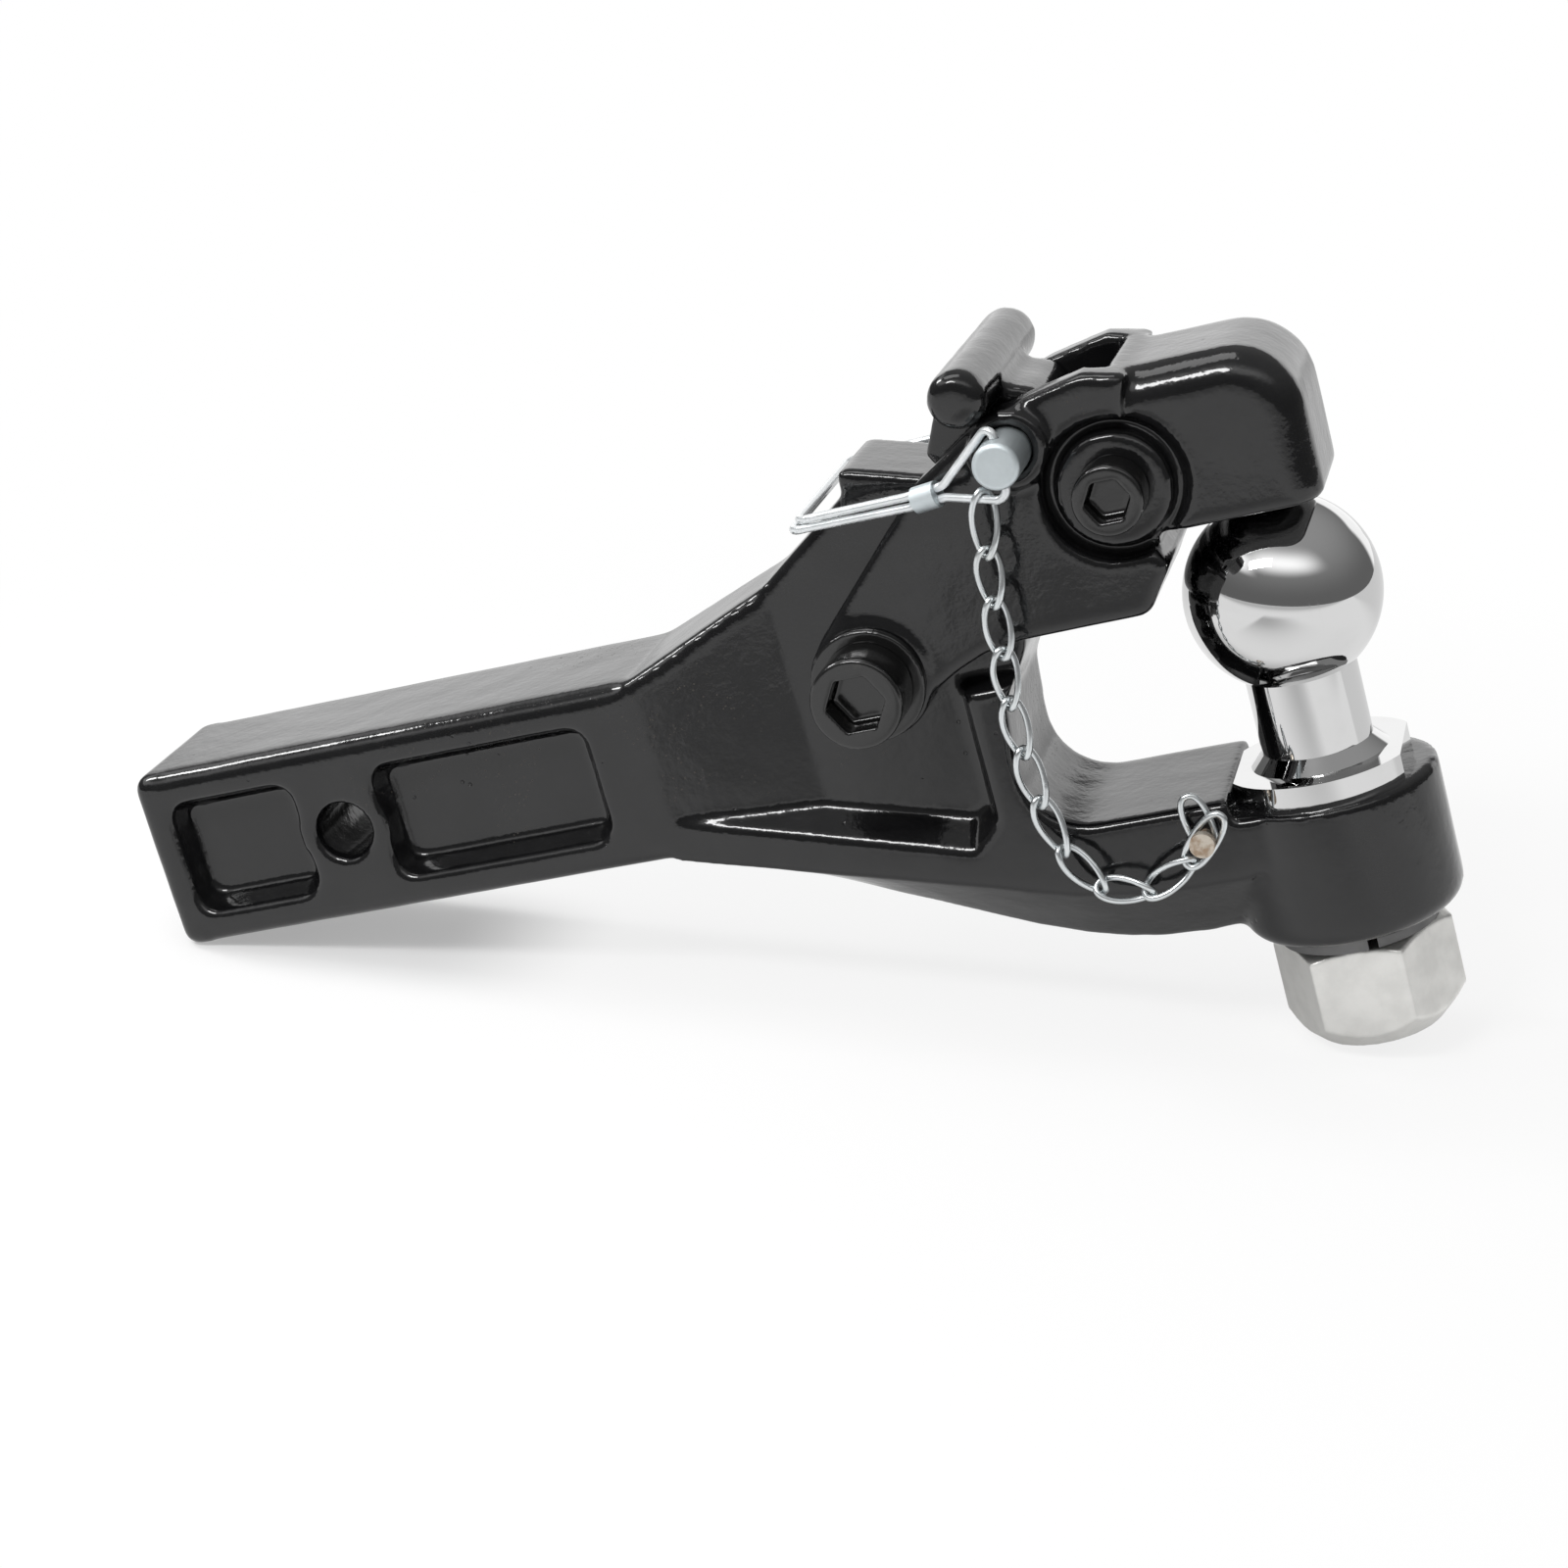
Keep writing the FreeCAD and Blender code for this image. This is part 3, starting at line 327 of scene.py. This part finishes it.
class HitchLooks(bpy.types.PropertyGroup):
    """Colours and finishes of the metal parts."""
    paint: bpy.props.FloatVectorProperty(
        name="Enamel", description="Colour of the black enamel", subtype="COLOR",
        default=(0.0055, 0.0055, 0.006), min=0.0, max=1.0)
    paint_roughness: bpy.props.FloatProperty(
        name="Enamel roughness", description="How dull the enamel is",
        default=0.10, min=0.02, max=1.0)
    peel_depth: bpy.props.FloatProperty(
        name="Orange peel", description="Depth of the waves in the enamel",
        default=0.00022, min=0.0, max=0.002, subtype="DISTANCE", unit="LENGTH", precision=5)
    bolt: bpy.props.FloatVectorProperty(
        name="Bolts", description="Colour of the black bolts", subtype="COLOR",
        default=(0.006, 0.006, 0.006), min=0.0, max=1.0)
    chrome: bpy.props.FloatVectorProperty(
        name="Chrome", description="Colour of the plated ball", subtype="COLOR",
        default=(0.64, 0.64, 0.64), min=0.0, max=1.0)
    nut: bpy.props.FloatVectorProperty(
        name="Nut zinc", description="Colour of the big zinc nut", subtype="COLOR",
        default=(0.86, 0.855, 0.83), min=0.0, max=1.0)
    wire: bpy.props.FloatVectorProperty(
        name="Wire zinc", description="Colour of the bail and the chain", subtype="COLOR",
        default=(0.72, 0.75, 0.76), min=0.0, max=1.0)
    pin: bpy.props.FloatVectorProperty(
        name="Pin zinc", description="Colour of the safety pin and its ferrule", subtype="COLOR",
        default=(0.68, 0.735, 0.755), min=0.0, max=1.0)
    cell: bpy.props.FloatProperty(
        name="Casting cell", description="Grid on which the castings' edges are softened",
        default=0.00107, min=0.0006, max=0.004, subtype="DISTANCE", unit="LENGTH", precision=5)
    bolt_cell: bpy.props.FloatProperty(
        name="Bolt cell", description="Grid on which the bolts' edges are softened",
        default=0.0005, min=0.0003, max=0.002, subtype="DISTANCE", unit="LENGTH", precision=5)
    soften: bpy.props.IntProperty(
        name="Softening", description="Smoothing passes over the castings",
        default=9, min=0, max=30)
    ripple: bpy.props.FloatProperty(
        name="Ripple", description="Height of the slow waves in the castings' faces",
        default=0.00010, min=0.0, max=0.001, subtype="DISTANCE", unit="LENGTH", precision=5)


class ChainSizes(bpy.types.PropertyGroup):
    """Sizes of the keeper chain's twisted links."""
    wire: bpy.props.FloatProperty(
        name="Wire", description="Diameter of a link's wire", default=0.0017,
        min=0.0005, max=0.01, subtype="DISTANCE", unit="LENGTH", precision=4)
    width: bpy.props.FloatProperty(
        name="Width", description="Outside width of a link", default=0.0080,
        min=0.002, max=0.05, subtype="DISTANCE", unit="LENGTH", precision=4)
    slack: bpy.props.FloatProperty(
        name="Slack", description="Play between two links", default=0.0009,
        min=0.0, max=0.01, subtype="DISTANCE", unit="LENGTH", precision=4)
    twist: bpy.props.FloatProperty(
        name="Twist", description="Turn from one end of a link to the other",
        default=math.radians(90), min=0.0, max=math.pi, subtype="ANGLE", unit="ROTATION")


class StageSizes(bpy.types.PropertyGroup):
    """Floor and light."""
    floor: bpy.props.FloatVectorProperty(
        name="Floor", description="Colour of the floor", subtype="COLOR",
        default=(0.93, 0.93, 0.93), min=0.0, max=1.0)
    sky: bpy.props.FloatProperty(
        name="Room light", description="Strength of the light from all sides",
        default=1.0, min=0.0, max=5.0)
    lamp: bpy.props.FloatProperty(
        name="Lamps", description="Strength of the soft boxes", default=1.0, min=0.0, max=10.0)


def looks():
    """Finishes as they are set in the panel."""
    return bpy.context.scene.hitch_looks


def sizes():
    """Chain sizes as they are set in the panel."""
    return bpy.context.scene.hitch_chain


def made_once(name, maker, *values):
    """The material of this name, made when it is first asked for."""
    return bpy.data.materials.get(name) or maker(*values)


def plated(name, *values):
    """A zinc finish of this name."""
    return made_once(name, zinc, name, *values)


def give(obj, material):
    """Sets an object's only material."""
    obj.data.materials.clear()
    obj.data.materials.append(material)


def link_object(name, mesh):
    """A new object in the scene."""
    obj = bpy.data.objects.new(name, mesh)
    bpy.context.scene.collection.objects.link(obj)
    return obj


def body_under(node):
    """Name of the body that carries a node."""
    carrier = frame["nodes"][node].parent
    return next(name for name, empty in frame["bodies"].items() if empty == carrier)


def merged_copy(node, name):
    """A new object with a copy of a node's mesh whose loose triangles are joined."""
    mesh = bpy.data.meshes.new(name)
    work = bmesh.new()
    work.from_mesh(frame["nodes"][node].data)
    bmesh.ops.remove_doubles(work, verts=work.verts, dist=JOIN_DISTANCE)
    work.to_mesh(mesh)
    work.free()
    mesh.materials.clear()
    for face in mesh.polygons:
        face.use_smooth = True
    return link_object(name, mesh)


def plain_result(obj):
    """The evaluated shape of an object as its own plain mesh, with no modifiers left."""
    bpy.context.view_layer.update()
    depsgraph = bpy.context.evaluated_depsgraph_get()
    shape = bpy.data.meshes.new_from_object(obj.evaluated_get(depsgraph))
    obj.modifiers.clear()
    obj.data = shape
    return obj


def closeness(place, lines, reach):
    """1 near the closest of some lines, drawn for y above 0 and mirrored, and 0 at the reach."""
    place = Vector((place.x, abs(place.y), place.z))
    nearest = reach
    for start, end in lines:
        start, end = Vector(start) * MM, Vector(end) * MM
        on_line, share = geometry.intersect_point_line(place, start, end)
        if 0 <= share <= 1:
            nearest = min(nearest, (place - on_line).length)
    return min(1.0, ROUND_CORE * (1 - nearest / reach))


def soft_piece(node, cell, passes, ripple):
    """The node's shape with soft edges, as enamel or wear leaves them, and slow waves."""
    obj = merged_copy(node, node + "_soft")
    remesh = obj.modifiers.new("cells", "REMESH")
    remesh.mode = "VOXEL"
    remesh.voxel_size = cell
    remesh.use_smooth_shade = True
    smooth = obj.modifiers.new("soft", "SMOOTH")
    smooth.factor = 0.5
    smooth.iterations = passes
    plain_result(obj)
    if node in ROUND_EDGES:
        worn = obj.vertex_groups.new(name="rounder")
        for vertex in obj.data.vertices:
            weight = closeness(vertex.co, ROUND_EDGES[node], ROUND_REACH)
            if weight > 0:
                worn.add([vertex.index], weight, "REPLACE")
        rounder = obj.modifiers.new("rounder", "SMOOTH")
        rounder.vertex_group = "rounder"
        rounder.factor = 0.5
        rounder.iterations = ROUND_PASSES
        plain_result(obj)
        obj.vertex_groups.clear()
    count = len(obj.data.vertices)
    places = np.empty(count * 3, np.float32)
    normals = np.empty(count * 3, np.float32)
    obj.data.vertices.foreach_get("co", places)
    obj.data.vertex_normals.foreach_get("vector", normals)
    places = places.reshape(-1, 3)
    normals = normals.reshape(-1, 3)
    lift = np.array([noise.noise(Vector(place) * RIPPLE_SCALE) for place in places], np.float32)
    places += normals * (lift * ripple)[:, None]
    low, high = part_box(node)
    places = np.clip(places, np.array(low), np.array(high))
    obj.data.vertices.foreach_set("co", places.astype(np.float32).ravel())
    obj.data.update()
    return obj


class HITCH_OT_castings(bpy.types.Operator):
    """Enamelled hook, jaw and lock lever"""
    bl_idname = "hitch.castings"
    bl_label = "Castings"

    def execute(self, context):
        finish = made_once("black_enamel", gloss_paint)
        for node in CASTINGS:
            passes = looks().soften + MORE_SOFT.get(node, 0)
            obj = soft_piece(node, looks().cell, passes, looks().ripple)
            give(obj, finish)
            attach(obj, node)
            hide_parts(node)
        return {"FINISHED"}


class HITCH_OT_hardware(bpy.types.Operator):
    """Chrome ball, zinc nut and washer, softened black bolts, safety pin and rivet"""
    bl_idname = "hitch.hardware"
    bl_label = "Hardware"

    def execute(self, context):
        nodes = frame["nodes"]
        bolts = made_once("oiled_bolt", oiled_bolt)
        for node in BLACK_BOLTS:
            give(nodes[node], bolts)
        give(nodes["tow_ball"], made_once("chrome", chrome))
        nut = plated("dull_zinc", looks().nut, 0.36, 0.56, DRAWN_LINES)
        washer = plated("dark_zinc", WASHER_ZINC, 0.4, 0.6, DRAWN_LINES)
        give(nodes["ball_spring_washer"], washer)
        softened = [(node, bolts, SLOTS["bolt"]) for node in SOFT_BOLTS]
        softened.append(("ball_nut", nut, SLOTS["nut"]))
        for node, finish, slot in softened:
            obj = soft_piece(node, looks().bolt_cell, BOLT_PASSES, 0)
            give(obj, finish)
            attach(obj, body_under(node))
            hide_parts(node)
        pin = plated("turned_zinc", looks().pin, 0.42, 0.62, TURNED_LINES)
        give(nodes["safety_pin"], pin)
        give(nodes["bail_ferrule"], pin)
        give(nodes["chain_rivet"], made_once("worn_rivet", worn_rivet))
        return {"FINISHED"}


class HITCH_OT_bail(bpy.types.Operator):
    """Coated wire bail that keeps the safety pin in place"""
    bl_idname = "hitch.bail"
    bl_label = "Wire bail"

    def execute(self, context):
        obj = merged_copy("wire_bail", "wire_bail_coated")
        for vertex in obj.data.vertices:
            share = min(1.0, max(0.0, (BAIL_STRAIGHT - vertex.co.x) / BAIL_LEAN))
            vertex.co.z += BAIL_LIFT * share * share * (3 - 2 * share)
        give(obj, made_once("coated_wire", coated_wire))
        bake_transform(obj)
        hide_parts("wire_bail")
        return {"FINISHED"}


def link_tree(material):
    """Nodes that set one twisted wire link on every point, turned by the point's own angles."""
    tree = bpy.data.node_groups.new("twisted_links", "GeometryNodeTree")
    ports = tree.interface
    ports.new_socket("Geometry", in_out="INPUT", socket_type="NodeSocketGeometry")
    for name in ("Wire", "Width", "Length", "Twist"):
        ports.new_socket(name, in_out="INPUT", socket_type="NodeSocketFloat")
    ports.new_socket("Geometry", in_out="OUTPUT", socket_type="NodeSocketGeometry")
    given = tree.nodes.new("NodeGroupInput")
    line = Line(tree)
    points, wire, width, length, twist = [Line(tree, socket) for socket in given.outputs][:5]
    ring = line.add("GeometryNodeCurvePrimitiveCircle", {"mode": "RADIUS"}, {
        "Resolution": LINK_POINTS, "Radius": 1.0})
    place = line.add("GeometryNodeInputPosition")
    along, beside = [line.add("ShaderNodeSeparateXYZ", None, {0: place}, out=axis)
                     for axis in (0, 1)]
    flat_along = line.sum("SIGN", along) * line.sum("ABSOLUTE", along) ** LINK_END_POWER
    flat_beside = line.sum("SIGN", beside) * line.sum("ABSOLUTE", beside) ** LINK_SIDE_POWER
    turn = flat_along * twist * 0.5
    reach = flat_along * (length - wire) * 0.5
    bow = flat_beside * (width - wire) * 0.5
    shape = line.add("ShaderNodeCombineXYZ", None, {
        0: reach, 1: bow * line.sum("COSINE", turn), 2: bow * line.sum("SINE", turn)})
    path = line.add("GeometryNodeSetPosition", None, {"Geometry": ring, "Position": shape})
    section = line.add("GeometryNodeCurvePrimitiveCircle", {"mode": "RADIUS"}, {
        "Resolution": WIRE_SIDES, "Radius": wire * 0.5})
    link = line.add("GeometryNodeCurveToMesh", None, {"Curve": path, "Profile Curve": section})
    turned, stretched = [
        line.add("GeometryNodeInputNamedAttribute", {"data_type": "FLOAT_VECTOR"}, {"Name": name})
        for name in ("turn", "stretch")]
    spread = line.add("GeometryNodeInstanceOnPoints", None, {
        "Points": points, "Instance": link,
        "Rotation": line.add("FunctionNodeEulerToRotation", None, {0: turned}), "Scale": stretched})
    whole = line.add("GeometryNodeRealizeInstances", None, {"Geometry": spread})
    soft = line.add("GeometryNodeSetShadeSmooth", None, {"Geometry": whole})
    coloured = line.add("GeometryNodeSetMaterial", None, {"Geometry": soft, "Material": material})
    tree.links.new(coloured.socket, tree.nodes.new("NodeGroupOutput").inputs[0])
    return tree


def link_points(name, spans, rolls, overlap):
    """One point for each link, with the angles and the stretch that the link takes there."""
    mesh = bpy.data.meshes.new(name)
    mesh.from_pydata([tuple((Vector(a) + Vector(b)) * 0.5 * MM) for a, b in spans], [], [])
    turn = mesh.attributes.new("turn", "FLOAT_VECTOR", "POINT")
    stretch = mesh.attributes.new("stretch", "FLOAT_VECTOR", "POINT")
    for index, (start, end) in enumerate(spans):
        way = (Vector(end) - Vector(start)) * MM
        long = way.length + overlap
        way.normalize()
        side = (Vector((0, 1, 0)) - way * way.y).normalized()
        matrix = Matrix((way, side, way.cross(side))).transposed()
        matrix = matrix @ Matrix.Rotation(rolls[index], 3, "X")
        turn.data[index].vector = matrix.to_euler()
        stretch.data[index].vector = (long / LINK_LENGTH, 1.0, 1.0)
    return link_object(name, mesh)


class HITCH_OT_chain(bpy.types.Operator):
    """Keeper chain of twisted zinc links from the bail to the rivet"""
    bl_idname = "hitch.chain"
    bl_label = "Keeper chain"

    def execute(self, context):
        wire = plated("wire_zinc", looks().wire, 0.2, 0.36, TURNED_LINES)
        chain = sizes()
        overlap = 2 * chain.wire + chain.slack
        spans = list(zip(CHAIN_JOINTS, CHAIN_JOINTS[1:])) + [LOOSE_LINK]
        tree = link_tree(wire)
        inputs = {"Wire": chain.wire, "Width": chain.width, "Length": LINK_LENGTH}
        splits = (0, UPPER_LINKS, HANGING_LINKS)
        top, middle, foot = [Vector(CHAIN_JOINTS[index]) * MM for index in splits]
        groups = (
            ("chain_upper", 0, UPPER_LINKS, ("upper_jaw", "safety_pin", middle, top)),
            ("chain_lower", UPPER_LINKS, HANGING_LINKS, ("hook_body", "upper_jaw", foot, middle)),
            ("chain_end", HANGING_LINKS, len(spans), None))
        for name, first, last, bend in groups:
            rolls = [math.radians(LINK_ROLL + LINK_SWAY * math.sin(LINK_SWAY_STEP * index))
                     for index in range(first, last)]
            obj = link_points(name, spans[first:last], rolls, overlap)
            modifier = obj.modifiers.new("links", "NODES")
            modifier.node_group = tree
            inputs["Twist"] = chain.twist if bend else END_TWIST
            for item in tree.interface.items_tree:
                if item.in_out == "INPUT" and item.name in inputs:
                    modifier[item.identifier] = inputs[item.name]
            plain_result(obj)
            give(obj, wire)
            if bend:
                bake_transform(obj)
            else:
                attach(obj, "hook_body")
            numbers = range(first + 1, last + 1)
            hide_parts(*["chain_link_%02d" % number for number in numbers])
        return {"FINISHED"}


def resting_floor():
    """Tilt and height of the floor on which the shank's end and the big nut both stand."""
    hook = np.array([v.co for v in frame["nodes"]["hook_body"].data.vertices])
    hook = hook[hook[:, 0] < 0.0]
    nut = np.array([v.co for v in frame["nodes"]["ball_nut"].data.vertices])
    low, high = 0.0, math.radians(TILT_LIMIT)
    for _ in range(TILT_TRIES):
        tilt = (low + high) / 2
        up = np.array([math.sin(tilt), 0.0, math.cos(tilt)])
        if (hook @ up).min() > (nut @ up).min():
            low = tilt
        else:
            high = tilt
    return tilt, float((nut @ up).min())


def area_lamp(name, place, target, width, height, power):
    """A soft box that faces the target."""
    data = bpy.data.lights.new(name, "AREA")
    data.shape = "RECTANGLE"
    data.size = width
    data.size_y = height
    data.energy = power
    lamp = bpy.data.objects.new(name, data)
    bpy.context.scene.collection.objects.link(lamp)
    lamp.location = place
    lamp.rotation_mode = "QUATERNION"
    lamp.rotation_quaternion = (Vector(target) - Vector(place)).to_track_quat("-Z", "Y")


def floor_material(colour):
    """Pale floor that keeps the shadow near the part and is plain white further out.

    The shadow is strongest at the shank's end. Reflections see a painted shadow under the part,
    a painted shade patch in front of it and painted shade that darkens the floor far in front and
    behind.
    """
    material = bpy.data.materials.new("pale_floor")
    material.use_nodes = True
    tree = material.node_tree
    tree.nodes.clear()
    line = Line(tree)
    position = line.add("ShaderNodeTexCoord", None, None, out="Object")
    camera, glossy, through = [line.add("ShaderNodeLightPath", None, None, out=name) for name in (
        "Is Camera Ray", "Is Glossy Ray", "Is Transmission Ray")]
    seen = line.sum("MAXIMUM", line.sum("MAXIMUM", camera, glossy), through)
    off = line.add("ShaderNodeVectorMath", {"operation": "SUBTRACT"}, {
        0: position, 1: SHADOW_MIDDLE})
    distance = line.add("ShaderNodeVectorMath", {"operation": "LENGTH"}, {0: off}, out=1)
    across, depth = [line.add("ShaderNodeSeparateXYZ", None, {0: position}, out=axis)
                     for axis in (0, 1)]
    contact = across.band(-0.07, 0.03, 0.025) * depth.band(-0.035, 0.03, 0.015)
    share = 0.81 + distance.step(0.2, 0.48) * 0.19 - contact * 0.45
    # Painted shadow under the part, seen only in the floor's reflections.
    under = across.band(0.04, 0.28, 0.04) * depth.band(-0.04, 0.05, 0.03)
    # Painted shade patch in front of the part, seen only in the floor's reflections.
    painted_shade_patch = across.step(0.08, 0.12) * (1 - across.step(0.15, 0.45)) * depth.band(-0.5, -0.2, 0.12)
    # Painted shade: reflections see the floor darker far in front of the part and behind it.
    front = (0 - depth).step(0.6, 1.8)
    back = depth.step(0.1, 0.3)
    # Floor brightness in reflections with the painted shadow and painted shade taken off; the
    # camera sees plain white.
    glow_with_painted_shade = 1.04 - under * 0.6 - painted_shade_patch * 0.5 - front * 0.4 - back * 0.2
    glow_with_painted_shade = camera + (1 - camera) * glow_with_painted_shade
    matt = line.add("ShaderNodeBsdfDiffuse", None, {"Color": shade(colour)})
    white = line.add("ShaderNodeEmission", None, {"Color": (1, 1, 1, 1), "Strength": glow_with_painted_shade})
    mixed = line.add("ShaderNodeMixShader", None, {0: seen * share, 1: matt, 2: white})
    tree.links.new(mixed.socket, tree.nodes.new("ShaderNodeOutputMaterial").inputs["Surface"])
    return material


def floor_plane(up, across, height, colour):
    """A wide floor at the height on which the part rests."""
    middle = up * height + across * FLOOR_MIDDLE
    corners = [middle + across * FLOOR_REACH * a + Vector((0, FLOOR_REACH * b, 0))
               for a, b in ((-1, -1), (1, -1), (1, 1), (-1, 1))]
    mesh = bpy.data.meshes.new("floor")
    mesh.from_pydata([tuple(corner) for corner in corners], [], [(0, 1, 2, 3)])
    floor = link_object("floor", mesh)
    give(floor, floor_material(colour))


def soft_room(scene, up, sky):
    """Light from all sides: a lit backdrop, a strip on the left and a glow in front."""
    world = bpy.data.worlds.new("soft_room")
    scene.world = world
    world.use_nodes = True
    tree = world.node_tree
    tree.nodes.clear()
    line = Line(tree)
    camera_ray = line.add("ShaderNodeLightPath", None, None, out="Is Camera Ray")
    way = line.add("ShaderNodeTexCoord", None, None, out="Generated")
    x, y = [line.add("ShaderNodeSeparateXYZ", None, {0: way}, out=axis) for axis in (0, 1)]
    rise = line.add("ShaderNodeVectorMath", {"operation": "DOT_PRODUCT"}, {0: way, 1: up}, out=1)
    bearing = x / line.sum("MAXIMUM", y, 0.05)
    backdrop = y.step(0.1, 0.3) * bearing.band(-0.6, 0.75, 0.12) * (1 - rise.step(0.34, 0.43))
    left_strip = (0 - x).step(0.25, 0.6) * rise.band(0.48, 0.7, 0.06)
    front_glow = (0 - y).step(0.2, 0.7) * rise.band(0.62, 0.88, 0.12)
    ceiling = rise.step(0.1, 1.0)
    room = 0.16 + ceiling * 0.22 + backdrop * 1.1 + left_strip * 1.3 + front_glow * 1.2
    strength = room * sky * (1 - camera_ray) + camera_ray
    light = line.add("ShaderNodeBackground", None, {"Color": (1, 1, 1, 1), "Strength": strength})
    tree.links.new(light.socket, tree.nodes.new("ShaderNodeOutputWorld").inputs["Surface"])


def fitted_camera(scene):
    """The camera that sees the part as the photograph does."""
    data = bpy.data.cameras.new("camera")
    data.lens = CAMERA_LENS
    data.sensor_width = CAMERA_SENSOR
    data.clip_start, data.clip_end = CAMERA_CLIP
    camera = bpy.data.objects.new("camera", data)
    scene.collection.objects.link(camera)
    turn = Matrix((CAMERA_RIGHT, -CAMERA_DOWN, -CAMERA_AHEAD)).transposed()
    camera.matrix_world = Matrix.Translation(CAMERA_PLACE) @ turn.to_4x4()
    scene.camera = camera


class HITCH_OT_stage(bpy.types.Operator):
    """Floor, soft studio light and the camera"""
    bl_idname = "hitch.stage"
    bl_label = "Stage"

    def execute(self, context):
        scene = context.scene
        stage = scene.hitch_stage
        tilt, height = resting_floor()
        up = Vector((math.sin(tilt), 0, math.cos(tilt)))
        across = Vector((math.cos(tilt), 0, -math.sin(tilt)))
        floor_plane(up, across, height, stage.floor)
        soft_room(scene, up, stage.sky)
        for name, place, target, width, depth, watts in LAMPS:
            area_lamp(name, place, target, width, depth, watts * stage.lamp)
        fitted_camera(scene)
        scene.view_settings.view_transform = "Standard"
        return {"FINISHED"}


class HITCH_PT_panel(bpy.types.Panel):
    """Sizes, finishes and pieces of the hitch"""
    bl_idname = "HITCH_PT_panel"
    bl_label = "Ball hitch"
    bl_space_type = "VIEW_3D"
    bl_region_type = "UI"
    bl_category = "Hitch"

    def draw(self, context):
        layout = self.layout
        scene = context.scene
        for group in (scene.hitch_looks, scene.hitch_chain, scene.hitch_stage):
            box = layout.box()
            for name in group.__annotations__:
                box.prop(group, name)
        for operator in OPERATORS:
            layout.operator(operator.bl_idname)


OPERATORS = (HITCH_OT_castings, HITCH_OT_hardware, HITCH_OT_bail, HITCH_OT_chain, HITCH_OT_stage)
CLASSES = (HitchLooks, ChainSizes, StageSizes) + OPERATORS + (HITCH_PT_panel,)


def register():
    for item in CLASSES:
        bpy.utils.register_class(item)
    bpy.types.Scene.hitch_looks = bpy.props.PointerProperty(type=HitchLooks)
    bpy.types.Scene.hitch_chain = bpy.props.PointerProperty(type=ChainSizes)
    bpy.types.Scene.hitch_stage = bpy.props.PointerProperty(type=StageSizes)


def unregister():
    del bpy.types.Scene.hitch_stage
    del bpy.types.Scene.hitch_chain
    del bpy.types.Scene.hitch_looks
    for item in reversed(CLASSES):
        bpy.utils.unregister_class(item)


def main():
    register()
    bpy.ops.hitch.castings()
    bpy.ops.hitch.hardware()
    bpy.ops.hitch.bail()
    bpy.ops.hitch.chain()
    bpy.ops.hitch.stage()


if __name__ == "__main__":
    main()
